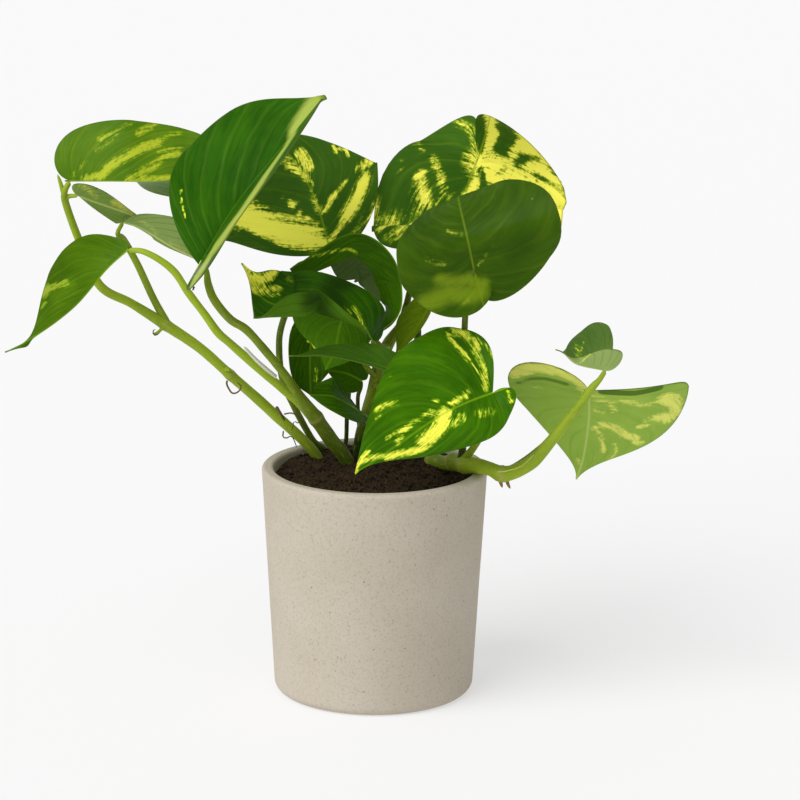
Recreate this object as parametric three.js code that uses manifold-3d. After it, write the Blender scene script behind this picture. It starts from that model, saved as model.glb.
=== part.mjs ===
// A golden pothos in a tapered stoneware pot, in millimetres, +Z up.
// The origin is the centre of the pot's flat underside, and the front of the plant looks along -Y.
import * as THREE from 'three';
import { mergeVertices } from 'three/addons/utils/BufferGeometryUtils.js';
import Module from 'manifold-3d';

const wasm = await Module();
wasm.setup();

// ---------------------------------------------------------------------------
// Driving dimensions

const pot = {
  height: 133,
  rimRadius: 65,
  footRadius: 58,
  wall: 7,
  floor: 9,
  lipRound: 2.2,
  footRound: 5,
  roundSteps: 3,
  facets: 48,
};
const soil = { edgeDrop: 7, mound: 3.5, rings: 4 };
const clearance = 0.3;
const stalkGap = 0.4;
const blade = {
  thickness: 0.8,
  rows: 12,
  columns: 3,
  stalkHalfWidth: 2.6,
  tipHalfWidth: 0.5,
  foldFrom: 1,
  foldWhole: 5,
  waves: 1.5,
  waveShift: 2,
};
// Handles of the outline's two curves, as shares of the width, the lobe or the midrib's length, and the power
// that brings the side veins' roots together at the stalk.
const heart = {
  lobeStart: 0.2,
  lobeOut: 0.95,
  lobeBack: 1.5,
  lobeSide: 1.2,
  sideUp: 0.33,
  tipIn: 0.2,
  tipUp: 0.84,
  veinPower: 1.8,
};
const tube = { sides: 7, step: 9 };

// ---------------------------------------------------------------------------
// Leaf blades. Each is a flat heart that is then bent. Sides are named as seen on the upper side with the
// tip up, and every pair of values is left then right.
//   midrib  points from the end of the stalk to the tip
//   face    way the upper side looks, at the stalk and at the tip
//   width   of each half, laid flat
//   widest  where each half is widest, as a share of the midrib
//   lobe    how far each lobe reaches back past the stalk
//   rise    how far each lobe's end lifts off the plane of the blade
//   fold    degrees that each half tilts up from the midrib, at evenly spaced stations from stalk to tip
//   curl    further degrees that each half turns from midrib to margin, at such stations
//   shape   places of the outline's handles, where they differ from those of the usual heart
//   wave    height of the waves along the margin
const leaves = {
  leafBig: {
    midrib: [[-97, -29.5, 258], [-77.5, -38, 291], [-55.5, -39.5, 318.5], [-28, -42.5, 353.5]],
    face: [[0.04, -0.96, 0.36], [0.04, -0.96, 0.36]],
    width: [53.5, 40.5],
    widest: [0.36, 0.41],
    lobe: [1.5, 14.5],
    rise: [0, -1.5],
    fold: [[-31, 84], [-31, 84]],
    curl: [[-4, -21], [-4, -21]],
    shape: {
      lobeStart: [0.05, 0.15],
      lobeOut: [1.2, 0.79],
      lobeBack: [1.63, 1.73],
      lobeSide: [1.17, 1.18],
      sideUp: [0.37, 0.54],
      tipIn: [0.33, 0.44],
      tipUp: [0.82, 0.95],
    },
    wave: 1,
    colour: 0x2f6212,
  },
  leafUpperLeft: {
    midrib: [[-174, 11.5, 295.5], [-140, 5.5, 296.5], [-109.5, 7.5, 296.5], [-82, -0.5, 288]],
    face: [[0, -1, 0.36], [0, -1, 0.36]],
    width: [36.5, 33],
    widest: [0.34, 0.36],
    lobe: [11, 6],
    rise: [-1.5, 0],
    fold: [[5, -76], [4, -106], [-5, -75], [1, -60]],
    curl: [[-17, 11], [-17, 11]],
    shape: {
      lobeOut: [1.02, 0.95],
      lobeBack: [1.47, 1.5],
      lobeSide: [1.25, 1.2],
      sideUp: [0.54, 0.41],
      tipIn: [0.27, 0.2],
      tipUp: [0.93, 0.84],
    },
    wave: 1,
    colour: 0x6d8a1e,
  },
  leafYoung: {
    midrib: [[-169, 7, 288], [-154.5, 7, 283.5], [-134, 5, 277.5]],
    face: [[0.04, 0.88, 0.44], [0.04, 0.88, 0.44]],
    width: [10, 7],
    widest: [0.75, 0.24],
    lobe: [2.5, 3.5],
    rise: [0, 0.5],
    fold: [[9, 10], [9, 10]],
    curl: [[0, 0], [0, 0]],
    shape: {
      lobeStart: [0.05, 0.35],
      lobeOut: [0.06, 1.24],
      lobeBack: [2.61, 2.01],
      lobeSide: [1.17, 1.26],
      sideUp: [0.06, 0.18],
      tipIn: [0.44, 0.19],
      tipUp: [0.87, 0.86],
    },
    wave: 0,
    colour: 0x7c9350,
  },
  leafUnderside: {
    midrib: [[-144.5, 19, 271], [-133.5, 15, 267.5], [-115, 10, 258], [-96.5, 8, 249.5]],
    face: [[0.04, 0.84, 0.52], [0.04, 0.84, 0.52]],
    width: [3, 20],
    widest: [0.39, 0.62],
    lobe: [0.5, 1],
    rise: [0, 0],
    fold: [[36, 10], [36, 10]],
    curl: [[4, 9], [4, 9]],
    shape: {
      lobeStart: [0.18, 0.05],
      lobeOut: [0.89, 0.43],
      lobeBack: [1.48, 1.44],
      lobeSide: [1.18, 1.18],
      sideUp: [0.22, 0.33],
      tipUp: [0.75, 0.84],
    },
    wave: 0.5,
    colour: 0x6f8a4c,
  },
  leafLowerLeft: {
    midrib: [
      [-139.5, -12, 260.5], [-151.5, -16.5, 250], [-169, -19.5, 230],
      [-190.5, -24.5, 214], [-208, -26, 204.5],
    ],
    face: [[-0.32, -0.88, 0.36], [-0.32, -0.88, 0.36]],
    width: [24, 25.5],
    widest: [0.33, 0.26],
    lobe: [4, 2.5],
    rise: [0, 0],
    fold: [[-80, -13], [-112, 25], [-118, 29], [-118, 2]],
    curl: [[0, 16], [0, 16]],
    shape: {
      lobeStart: [0.2, 0.11],
      lobeOut: [0.95, 0.93],
      lobeBack: [1.5, 1.47],
      sideUp: [0.25, 0.46],
      tipIn: [0.05, -0.2],
      tipUp: [0.75, 0.67],
    },
    wave: 0.5,
    colour: 0x4e7a1c,
  },
  leafBack: {
    midrib: [[-28, 30, 257], [-35, 26, 283], [-49, 20, 304], [-77, 10, 325]],
    face: [[-0.1, -0.96, 0.3], [-0.1, -0.96, 0.3]],
    width: [52, 37],
    widest: [0.3, 0.3],
    lobe: [2, 8],
    rise: [0, 0],
    fold: [[0, 0], [0, 0]],
    curl: [[0, 0], [0, 0]],
    shape: { sideUp: [0.45, 0.4], tipIn: [0.3, 0.12] },
    wave: 1,
    colour: 0x5c7d26,
  },
  leafTopRight: {
    midrib: [[58, 38.5, 305.5], [52, 41.5, 286], [55, 38, 267], [52, 34, 227]],
    face: [[-0.1, -1, 0.12], [-0.1, -1, 0.12]],
    width: [57, 58],
    widest: [0.06, 0.37],
    lobe: [21, 12.5],
    rise: [10.5, -8.5],
    fold: [[-5, 9], [-5, 9]],
    curl: [[-1, -3], [-1, -3]],
    shape: {
      lobeStart: [0.05, 0.18],
      lobeOut: [0.65, 0.43],
      lobeBack: [3.38, 2.86],
      lobeSide: [0.81, 0.92],
      sideUp: [0.92, 0.64],
      tipIn: [0.24, 0.55],
      tipUp: [0.9, 0.44],
    },
    wave: 1,
    colour: 0x8fa32a,
  },
  leafRound: {
    midrib: [[54.5, -38, 257], [50.5, -44, 276.5], [46.5, -18.5, 292.5], [49.5, 12, 286.5]],
    face: [[0.04, -0.9, 0.24], [-0.24, -0.24, 1.04]],
    width: [42, 53],
    widest: [0.1, 0.22],
    lobe: [27, 18],
    rise: [16, 1],
    fold: [[12, 10], [-31, 11]],
    curl: [[2, 10], [2, 10]],
    shape: {
      lobeStart: [0.2, 0.1],
      lobeOut: [0.83, 0.73],
      lobeBack: [0.89, 2.23],
      lobeSide: [1.31, 1.11],
      sideUp: [0.34, 0.24],
      tipIn: [0.12, 0.24],
      tipUp: [0.7, 0.71],
    },
    wave: 1,
    colour: 0x3c5a12,
  },
  leafFront: {
    midrib: [
      [66.5, -41, 186.5], [50, -50, 182], [35, -52.5, 174.5],
      [12.5, -58.5, 160.5], [-10.5, -62, 144.5],
    ],
    face: [[0.04, -0.96, 0.24], [0.04, -0.96, 0.24]],
    width: [24, 45],
    widest: [0.18, 0.27],
    lobe: [6, 9],
    rise: [8, 6.5],
    fold: [[31, -10], [-34, 18]],
    curl: [[-35, -16], [-35, -16]],
    shape: {
      lobeStart: [0.05, 0.63],
      lobeOut: [1.03, 1.13],
      lobeBack: [1.99, 1.65],
      lobeSide: [1.09, 1.28],
      sideUp: [0.45, 0.25],
      tipIn: [-0.13, 0.15],
      tipUp: [0.77, 0.92],
    },
    wave: 0.5,
    colour: 0x4a7d16,
  },
  leafRight: {
    midrib: [[123, 1.5, 177.5], [124.5, 20.5, 155.5], [122.5, 36, 128.5], [119, 46, 113]],
    face: [[0.08, 0.6, 0.78], [0.08, 0.6, 0.78]],
    width: [47.5, 60],
    widest: [0.13, 0.19],
    lobe: [19.5, 2],
    rise: [2, 0],
    fold: [[1, -3], [1, -3]],
    curl: [[18, 40], [18, 40]],
    shape: {
      lobeStart: [0.22, 0.23],
      lobeOut: [1.14, 0.97],
      lobeBack: [1.3, 1.51],
      lobeSide: [1.15, 1.2],
      sideUp: [0.2, 0.58],
      tipIn: [0.03, 0.11],
      tipUp: [0.76, 0.58],
    },
    wave: 0.5,
    colour: 0x7f9a45,
  },
  leafSmall: {
    midrib: [[130, -10, 193], [121, -12, 196], [112, -14, 201], [103, -16, 206]],
    face: [[0, -0.1, 1], [0, -0.1, 1]],
    width: [13, 26],
    widest: [0.2, 0.15],
    lobe: [10, 4],
    rise: [0, 0],
    fold: [[40, 30], [65, 55], [70, 60]],
    curl: [[0, 0], [0, 0]],
    shape: { sideUp: 0.4, tipIn: [0.45, 0.15] },
    wave: 0,
    colour: 0x5f8a30,
  },
  leafCurly: {
    midrib: [
      [-2, -25, 213], [-15, -36, 228], [-29, -42, 237],
      [-46, -48, 242], [-62, -51, 249], [-74, -52, 261],
    ],
    face: [[0, -0.84, 0.5], [0, -0.84, 0.5]],
    width: [30, 21],
    widest: [0.62, 0.4],
    lobe: [2, 4],
    rise: [0, 0],
    fold: [[-20, 0], [-20, 0]],
    curl: [[300, -20], [310, -10], [210, 0], [140, 0], [0, 0]],
    shape: { sideUp: [0.05, 0.33], tipIn: [0.3, 0.2], tipUp: [0.86, 0.84] },
    wave: 0.5,
    colour: 0x2c5a10,
  },
  leafArch: {
    midrib: [[-1, -12, 212], [12, -8, 232], [12, -4, 256], [-6, 0, 266], [-38, -4, 258]],
    face: [[0.84, -0.5, 0.1], [-0.2, -0.5, 0.8]],
    width: [13, 30],
    widest: [0.45, 0.55],
    lobe: [2, 4],
    rise: [0, 0],
    fold: [[-30, -65], [-30, -65]],
    curl: [[-20, 0], [-20, 0]],
    wave: 0.5,
    colour: 0x33560f,
  },
  leafBright: {
    midrib: [[-14, -15, 235], [-19.5, -16, 220], [-23, -17, 204.5], [-28, -18, 193.5]],
    face: [[0, -0.96, 0.3], [0, -0.96, 0.3]],
    width: [20, 29.5],
    widest: [0.35, 0.29],
    lobe: [2, 2],
    rise: [0, 0],
    fold: [[0, 0], [0, 0]],
    curl: [[0, 2], [0, 2]],
    shape: { sideUp: [0.33, 0.22], tipIn: [0.2, 0.12], tipUp: [0.84, 0.87] },
    wave: 0.5,
    colour: 0x5f8f10,
  },
  leafNarrow: {
    midrib: [[17, -35, 194.5], [-2.5, -36.5, 200], [-23, -40.5, 205], [-47.5, -47.5, 208.5]],
    face: [[-0.04, 0.12, 1.02], [-0.04, 0.12, 1.02]],
    width: [11, 8],
    widest: [0.39, 0.31],
    lobe: [2, 2],
    rise: [0, 0],
    fold: [[10, 63], [10, 63]],
    curl: [[-24, 0], [-24, 0]],
    shape: { lobeOut: [0.96, 1], sideUp: [0.28, 0.04], tipUp: [0.75, 0.86] },
    wave: 0,
    colour: 0x5b7f35,
  },
  leafDark: {
    midrib: [[-28, 6.5, 216.5], [-36, 8, 206], [-37.5, 6, 191.5], [-37, 6, 173]],
    face: [[0.08, -0.92, 0.38], [0.08, -0.92, 0.38]],
    width: [16, 14],
    widest: [0.4, 0.36],
    lobe: [4, 3.5],
    rise: [0, 0],
    fold: [[0, 12], [0, 12]],
    curl: [[0, 21], [0, 21]],
    shape: {
      lobeStart: [0.2, 0.22],
      lobeOut: [0.95, 1.15],
      sideUp: [0.33, 0.49],
      tipIn: [0.2, 0.37],
      tipUp: [0.84, 0.9],
    },
    wave: 0.5,
    colour: 0x2d5510,
  },
  leafLower: {
    midrib: [[-6.5, -5.5, 164.5], [-22.5, -19.5, 178], [-36.5, -15.5, 178]],
    face: [[0.04, -0.48, 0.88], [0.04, -0.48, 0.88]],
    width: [11, 15.5],
    widest: [0.44, 0.45],
    lobe: [2, 0.5],
    rise: [0, 0],
    fold: [[-13, -22], [-13, -22]],
    curl: [[-12, 64], [-12, 64]],
    shape: {
      lobeStart: [0.18, 0.05],
      lobeOut: [0.84, 0.7],
      lobeBack: [1.5, 1.48],
      sideUp: [0.25, 0.67],
      tipIn: [0.26, 0.39],
      tipUp: [0.89, 1.05],
    },
    wave: 0,
    colour: 0x3f6a12,
  },
  leafShade: {
    midrib: [[-8, 17, 179], [-17, 14, 184], [-28, 12, 186]],
    face: [[0, -0.8, 0.6], [0, -0.8, 0.6]],
    width: [11, 14],
    widest: [0.4, 0.4],
    lobe: [1, 3],
    rise: [0, 0],
    fold: [[0, 0], [0, 0]],
    curl: [[0, 0], [0, 0]],
    wave: 0,
    colour: 0x1d3c0a,
  },
  leafOlive: {
    midrib: [[31, 2, 228], [27, 2, 220], [20, 0, 210], [12, -2, 200]],
    face: [[0.2, -0.9, 0.2], [0.2, -0.9, 0.2]],
    width: [3, 12],
    widest: [0.4, 0.4],
    lobe: [4, 4],
    rise: [0, 0],
    fold: [[0, 0], [0, 0]],
    curl: [[0, 0], [0, 0]],
    wave: 0,
    colour: 0x6f8412,
  },
};

// Stems and leaf stalks. The branches of a stem are fused into one body. Each is a tapering tube through
// points of x, y, z and radius. A branch that carries a leaf goes on to the end of the leaf's midrib and stops
// just off the blade, behind it, or on its upper side where `front` is set.
const stems = {
  stemLeft: {
    colour: 0x7f9a35,
    branches: [
      {
        leaf: 'leafUpperLeft',
        front: true,
        points: [
          [-30, 31, 101, 3], [-33.5, 30, 129, 3.2], [-61.5, 29, 158, 3.1], [-84.5, 27, 179.5, 3],
          [-102, 25, 196, 2.9], [-121.5, 23, 210, 3.2], [-140.5, 20, 223, 2.6],
          [-158.5, 18, 234, 2.6], [-169.5, 17, 259.5, 2.3], [-176.5, 14, 281.5, 2.1],
          [-177, 11, 289.5, 1.8],
        ],
      },
      {
        leaf: 'leafUnderside',
        points: [
          [-119, 23, 208, 2.4], [-128, 24, 224.5, 2.2], [-137, 22, 245.5, 2.1],
          [-144.5, 19, 260.5, 2], [-147.5, 14, 265, 1.4],
        ],
      },
      {
        leaf: 'leafYoung',
        front: true,
        points: [[-177, 14, 283, 1.8], [-175.5, 12.5, 286.5, 1.4]],
      },
      {
        points: [[-177, 12, 286, 1.6], [-179.5, 12, 295, 1.1], [-181, 12, 299.5, 0.5]],
      },
      {
        points: [[-120.5, 21, 211, 1.2], [-125.5, 19, 206.5, 0.8], [-128.5, 19, 205.5, 0.6]],
      },
      {
        points: [[-87, 25, 183, 1.4], [-85.5, 21, 184.5, 1.2], [-84.5, 19, 183.5, 1]],
      },
    ],
  },
  stemMiddle: {
    colour: 0x8aa53c,
    branches: [
      {
        leaf: 'leafBig',
        points: [
          [-12, 19, 101, 4.2], [-15.5, 17, 129, 4.4], [-25, 11, 144.5, 4.4],
          [-34, 5, 159.5, 4.2], [-43, -1, 173.5, 3.2], [-52, -8, 189, 2.5],
          [-62.5, -14, 204, 2.4], [-72.5, -20, 217, 2.4], [-81.5, -24, 224, 2.4],
          [-90, -27, 235.5, 2.4], [-93.5, -26, 244.5, 2.2], [-94.5, -24.5, 252, 1.4],
        ],
      },
      {
        leaf: 'leafLowerLeft',
        front: true,
        points: [
          [-33, 7, 155, 2.6], [-43, 3, 168.5, 2.8], [-52.5, -1, 178, 2.6], [-68, -7, 193, 2.5],
          [-82.5, -12, 207.5, 2.4], [-89, -14, 214, 2.4], [-96.5, -15, 225, 2.3],
          [-105.5, -16, 237.5, 2.2], [-112.5, -16, 248.5, 2.1], [-120.5, -16, 255.5, 2],
          [-130.5, -15, 260.5, 1.7],
        ],
      },
    ],
  },
  stemBack: {
    colour: 0x4d661f,
    branches: [
      {
        leaf: 'leafBack',
        points: [
          [-30, 42, 106, 2.2], [-30, 42, 129, 2.2], [-37, 38, 138, 2.1], [-48, 32, 160.5, 2],
          [-54, 28, 176.5, 2], [-56, 28, 194.5, 1.9], [-54.5, 31, 208.5, 1.9],
          [-46.5, 38, 228, 1.8], [-35.5, 40, 246.5, 1.6],
        ],
      },
      {
        leaf: 'leafTopRight',
        points: [
          [18, 40, 106, 2.4], [18, 40, 129, 2.4], [25, 42, 161.5, 2.3], [24.5, 42, 200, 2.2],
          [24.5, 43, 219, 2.1], [31.5, 48, 250, 2], [44, 52, 279, 1.9], [53, 50, 296, 1.6],
        ],
      },
      {
        points: [[-30, 42, 109, 2.2], [-6, 46, 108, 2.2], [18, 40, 109, 2.2]],
      },
    ],
  },
  stemCentre: {
    colour: 0x66791c,
    branches: [
      {
        points: [
          [-6, 33, 101, 4.4], [-8.5, 33, 129, 4.6], [-7.5, 27, 142.5, 4.5], [-4, 18, 160, 4.2],
          [0, 8, 178.5, 4], [3, 3, 193, 3.8], [8, 6.5, 204.5, 3.4], [15, 10, 214.5, 2.6],
          [18, 10, 227, 2],
        ],
      },
      {
        leaf: 'leafArch',
        front: true,
        points: [[6.5, 4, 202, 2.4], [4.5, -7, 204, 1.5]],
      },
      {
        leaf: 'leafCurly',
        points: [[3, 1, 192, 2.4], [1.5, -11, 198, 2.2], [0.5, -19, 205.5, 1.7]],
      },
      {
        leaf: 'leafBright',
        points: [
          [1, 4, 184, 1.9], [-5, -6, 193, 1.6], [-9, -12, 206, 1.4], [-11.5, -13, 220.5, 1.3],
          [-12.5, -12, 228.5, 1.2],
        ],
      },
      {
        leaf: 'leafNarrow',
        points: [[1, 4, 179.5, 2], [8.5, -8, 178.5, 1.9], [15.5, -20, 184, 1.6]],
      },
      {
        leaf: 'leafDark',
        points: [
          [-18, 33, 101, 1.5], [-19, 34, 129, 1.5], [-17, 30, 140, 1.3], [-16.5, 29, 155.5, 1.3],
          [-15.5, 28, 170.5, 1.4], [-17, 26, 190.5, 1.4], [-21, 20, 202.5, 1.3],
        ],
      },
      {
        leaf: 'leafLower',
        points: [[-6.5, 22, 149.5, 1.6], [-3.5, 8, 157.5, 1.3]],
      },
      {
        leaf: 'leafShade',
        points: [
          [-9, 28, 145.5, 1.3], [-10, 25, 158.5, 1.2], [-10, 23, 168.5, 1.2],
          [-8.5, 22, 173.5, 1.2],
        ],
      },
      {
        leaf: 'leafOlive',
        points: [[17.5, 10, 224, 2], [20, 9, 235, 1.8], [23.5, 7, 241.5, 1.4]],
      },
      {
        points: [[-6, 33, 108, 2.4], [-18, 33, 108, 1.6]],
      },
    ],
  },
  stemRight: {
    colour: 0x8aa23c,
    branches: [
      {
        leaf: 'leafSmall',
        points: [
          [31, 29, 104, 3.6], [31, 27, 118, 4.2], [33.5, 21, 129.5, 4.9], [38, 14, 131, 4.4],
          [42, 8, 132.5, 4.2], [46, 1, 135, 5], [49.5, -6, 135.5, 4.7], [53.5, -13, 137, 4.8],
          [59, -20, 138.5, 4.4], [66, -25, 138, 4], [71.5, -27, 136, 4.4], [76, -27, 136, 4.4],
          [83, -27, 138.5, 4], [91, -25, 143.5, 3.9], [98.5, -22, 151.5, 3.4],
          [108, -18, 162.5, 2.9], [117, -15, 174, 2.5], [123.5, -12, 182.5, 2.2],
          [128, -11, 187.5, 1.7],
        ],
      },
      {
        leaf: 'leafRight',
        points: [
          [73.5, -26, 135.5, 3], [83, -17, 139, 2], [97.5, -12, 149.5, 1.8],
          [110.5, -7, 162.5, 1.7], [118.5, -4, 172, 1.5],
        ],
      },
      {
        leaf: 'leafRound',
        points: [
          [49.5, -6, 137, 2.6], [50.5, -8, 145.5, 2.2], [50, -12, 163.5, 2],
          [50, -13, 187.5, 1.9], [50.5, -16, 212, 1.8], [51, -24, 230, 1.8], [53, -33, 244.5, 1.6],
        ],
      },
      {
        leaf: 'leafFront',
        points: [
          [51, -9, 138.5, 2.4], [58, -20, 151.5, 2], [65.5, -30, 168, 1.9],
          [68.5, -36, 179, 1.6],
        ],
      },
      {
        points: [[71, -27, 133.5, 1.2], [72, -27, 130.5, 1], [73, -27, 127.5, 0.6]],
      },
      {
        points: [[75.5, -27, 132.5, 1.2], [76, -27, 130, 1], [77.5, -27, 127, 0.6]],
      },
    ],
  },
};

// Flat outline of one half: from the notch at the stalk round the lobe to the widest place, then to the tip.
function bezier(a, b, c, d, t) {
  const s = 1 - t;
  return s * s * s * a + 3 * s * s * t * b + 3 * s * t * t * c + t * t * t * d;
}

function outlinePoint(t, length, leaf, half) {
  const own = leaf.shape ?? {};
  const shape = {};
  for (const key of Object.keys(heart)) {
    shape[key] = Array.isArray(own[key]) ? own[key][half] : own[key] ?? heart[key];
  }
  const width = leaf.width[half];
  const lobe = leaf.lobe[half];
  const widest = leaf.widest[half] * length;
  if (t <= 0.5) {
    const k = 2 * t;
    const outer = shape.lobeStart * width;
    const back = shape.lobeBack * lobe;
    const start = blade.stalkHalfWidth / Math.hypot(outer, back);
    return [
      bezier(start * outer, outer, shape.lobeOut * width, width, k),
      bezier(-start * back, -back, -shape.lobeSide * lobe, widest, k),
    ];
  }
  const k = 2 * t - 1;
  return [
    bezier(width, width, shape.tipIn * width, blade.tipHalfWidth, k),
    bezier(widest, widest + shape.sideUp * length, shape.tipUp * length, length, k),
  ];
}

// Direction along the midrib, sideways to the right, and out of the upper side, at a share of its length.
function bladeFrame(curve, face, share) {
  const along = curve.getTangentAt(share);
  const up = new THREE.Vector3(...face[0]).lerp(new THREE.Vector3(...face[1]), share);
  up.addScaledVector(along, -up.dot(along)).normalize();
  const side = new THREE.Vector3().crossVectors(along, up);
  return { along, side, up };
}

// An angle given at evenly spaced stations from stalk to tip, read at a share of the midrib, in radians.
function angleAt(stations, half, share) {
  const at = share * (stations.length - 1);
  const first = Math.min(Math.floor(at), stations.length - 2);
  const angle = THREE.MathUtils.lerp(stations[first][half], stations[first + 1][half], at - first);
  return THREE.MathUtils.degToRad(angle);
}

// Tilt of a half at the midrib, in radians. It fades out at the tip, where the half gets narrow.
function foldAt(leaf, half, share, t, edgeAcross) {
  const whole = t < 0.5 ? 1 : THREE.MathUtils.smoothstep(edgeAcross, blade.foldFrom, blade.foldWhole);
  return angleAt(leaf.fold, half, share) * whole;
}

// Place on the middle of the blade, and the way its upper side looks there. s runs from -1, the left margin,
// to 1, the right one.
function bladePoint(leaf, curve, length, t, s) {
  const half = s < 0 ? 0 : 1;
  const sign = s < 0 ? -1 : 1;
  const reach = Math.abs(s);
  const [edgeAcross, edgeAlong] = outlinePoint(t, length, leaf, half);
  const across = reach * edgeAcross;
  const ribAlong = length * t ** heart.veinPower;
  const along = ribAlong + reach * (edgeAlong - ribAlong);
  const share = THREE.MathUtils.clamp(along / length, 0, 1);
  const frame = bladeFrame(curve, leaf.face, share);
  const place = curve.getPointAt(share);
  if (along < 0) {
    place.addScaledVector(frame.along, along);
    place.addScaledVector(frame.up, leaf.rise[half] * (along / Math.max(leaf.lobe[half], 1)) ** 2);
  }
  const fold = foldAt(leaf, half, share, t, edgeAcross);
  const turn = (angleAt(leaf.curl, half, share) * across) / leaf.width[half];
  const bent = fold + turn / 2;
  const chord = Math.abs(turn) < 1e-6 ? across : (across * Math.sin(turn / 2)) / (turn / 2);
  place.addScaledVector(frame.side, sign * chord * Math.cos(bent));
  place.addScaledVector(frame.up, chord * Math.sin(bent));
  const leftFold = foldAt(leaf, 0, share, t, outlinePoint(t, length, leaf, 0)[0]);
  const lean = s === 0 ? (fold - leftFold) / 2 : sign * (fold + turn);
  const outward = frame.up.clone().multiplyScalar(Math.cos(lean)).addScaledVector(frame.side, -Math.sin(lean));
  const wave = Math.sin(2 * Math.PI * blade.waves * t + half * blade.waveShift) * Math.sin(Math.PI * t);
  place.addScaledVector(outward, leaf.wave * reach * reach * wave);
  return { place, outward };
}

// A closed thin shell over a grid of places: the upper face, the lower face split alike, and the rim between.
function sheetGeometry(grid, thickness) {
  const rows = grid.length;
  const columns = grid[0].length;
  const positions = [];
  for (const side of [0.5, -0.5]) {
    for (const row of grid) {
      for (const { place, outward } of row) {
        const point = place.clone().addScaledVector(outward, side * thickness);
        positions.push(point.x, point.y, point.z);
      }
    }
  }
  const upper = (r, c) => r * columns + c;
  const lower = (r, c) => rows * columns + r * columns + c;
  const index = [];
  for (let r = 0; r < rows - 1; r++) {
    for (let c = 0; c < columns - 1; c++) {
      index.push(upper(r, c), upper(r, c + 1), upper(r + 1, c + 1));
      index.push(upper(r, c), upper(r + 1, c + 1), upper(r + 1, c));
      index.push(lower(r, c), lower(r + 1, c + 1), lower(r, c + 1));
      index.push(lower(r, c), lower(r + 1, c), lower(r + 1, c + 1));
    }
  }
  const rim = [];
  for (let c = 0; c < columns; c++) rim.push([0, c]);
  for (let r = 1; r < rows; r++) rim.push([r, columns - 1]);
  for (let c = columns - 2; c >= 0; c--) rim.push([rows - 1, c]);
  for (let r = rows - 2; r > 0; r--) rim.push([r, 0]);
  rim.forEach((here, i) => {
    const next = rim[(i + 1) % rim.length];
    index.push(upper(...here), lower(...here), lower(...next));
    index.push(upper(...here), lower(...next), upper(...next));
  });
  const geometry = new THREE.BufferGeometry();
  geometry.setAttribute('position', new THREE.Float32BufferAttribute(positions, 3));
  geometry.setIndex(index);
  return geometry;
}

function pathThrough(points) {
  const places = points.map(([x, y, z]) => new THREE.Vector3(x, y, z));
  return new THREE.CatmullRomCurve3(places, false, 'catmullrom', 0.5);
}

function bladeGrid(leaf) {
  const curve = pathThrough(leaf.midrib);
  const length = curve.getLength();
  const grid = [];
  for (let r = 0; r <= blade.rows; r++) {
    const row = [];
    for (let c = -blade.columns; c <= blade.columns; c++) {
      row.push(bladePoint(leaf, curve, length, r / blade.rows, c / blade.columns));
    }
    grid.push(row);
  }
  return grid;
}

// The branch's points, and one more that ends it a clearance off the blade it carries.
function branchPoints(branch) {
  if (!branch.leaf) return branch.points;
  const leaf = leaves[branch.leaf];
  const up = bladeFrame(pathThrough(leaf.midrib), leaf.face, 0).up.multiplyScalar(branch.front ? 1 : -1);
  const base = new THREE.Vector3(...leaf.midrib[0]);
  const [x, y, z, radius] = branch.points.at(-1);
  const slope = base.clone().sub(new THREE.Vector3(x, y, z)).normalize().dot(up);
  base.addScaledVector(up, blade.thickness / 2 + stalkGap + radius * Math.sqrt(1 - slope * slope));
  return [...branch.points, [base.x, base.y, base.z, radius]];
}

// A closed tapering stalk through points of x, y, z and radius, made larger all over by `extra`.
function stalkGeometry(points, extra) {
  const curve = pathThrough(points);
  const steps = Math.max(2, Math.round(curve.getLength() / tube.step));
  const frames = curve.computeFrenetFrames(steps, false);
  const positions = [];
  for (let i = 0; i <= steps; i++) {
    const at = curve.getUtoTmapping(i / steps) * (points.length - 1);
    const first = Math.min(Math.floor(at), points.length - 2);
    const radius = THREE.MathUtils.lerp(points[first][3], points[first + 1][3], at - first) + extra;
    const centre = curve.getPointAt(i / steps);
    if (i === 0) centre.addScaledVector(frames.tangents[i], -extra);
    if (i === steps) centre.addScaledVector(frames.tangents[i], extra);
    for (let k = 0; k < tube.sides; k++) {
      const angle = (2 * Math.PI * k) / tube.sides;
      const point = centre.clone();
      point.addScaledVector(frames.normals[i], radius * Math.cos(angle));
      point.addScaledVector(frames.binormals[i], radius * Math.sin(angle));
      positions.push(point.x, point.y, point.z);
    }
  }
  const index = [];
  for (let k = 0; k < tube.sides; k++) {
    const next = (k + 1) % tube.sides;
    for (let i = 0; i < steps; i++) {
      const here = i * tube.sides;
      const there = here + tube.sides;
      index.push(here + k, here + next, there + next);
      index.push(here + k, there + next, there + k);
    }
  }
  const last = steps * tube.sides;
  for (let k = 1; k < tube.sides - 1; k++) {
    index.push(0, k + 1, k);
    index.push(last, last + k, last + k + 1);
  }
  const geometry = new THREE.BufferGeometry();
  geometry.setAttribute('position', new THREE.Float32BufferAttribute(positions, 3));
  geometry.setIndex(index);
  return geometry;
}

// ---------------------------------------------------------------------------
// Solids

function toSolid(geometry) {
  const plain = geometry.clone();
  plain.deleteAttribute('normal');
  plain.deleteAttribute('uv');
  const merged = mergeVertices(plain, 1e-4);
  const index = merged.index.array;
  const kept = [];
  for (let i = 0; i < index.length; i += 3) {
    const [a, b, c] = index.slice(i, i + 3);
    if (a !== b && b !== c && c !== a) kept.push(a, b, c);
  }
  const positions = Float32Array.from(merged.attributes.position.array);
  const mesh = new wasm.Mesh({ numProp: 3, vertProperties: positions, triVerts: Uint32Array.from(kept) });
  return new wasm.Manifold(mesh);
}

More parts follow.
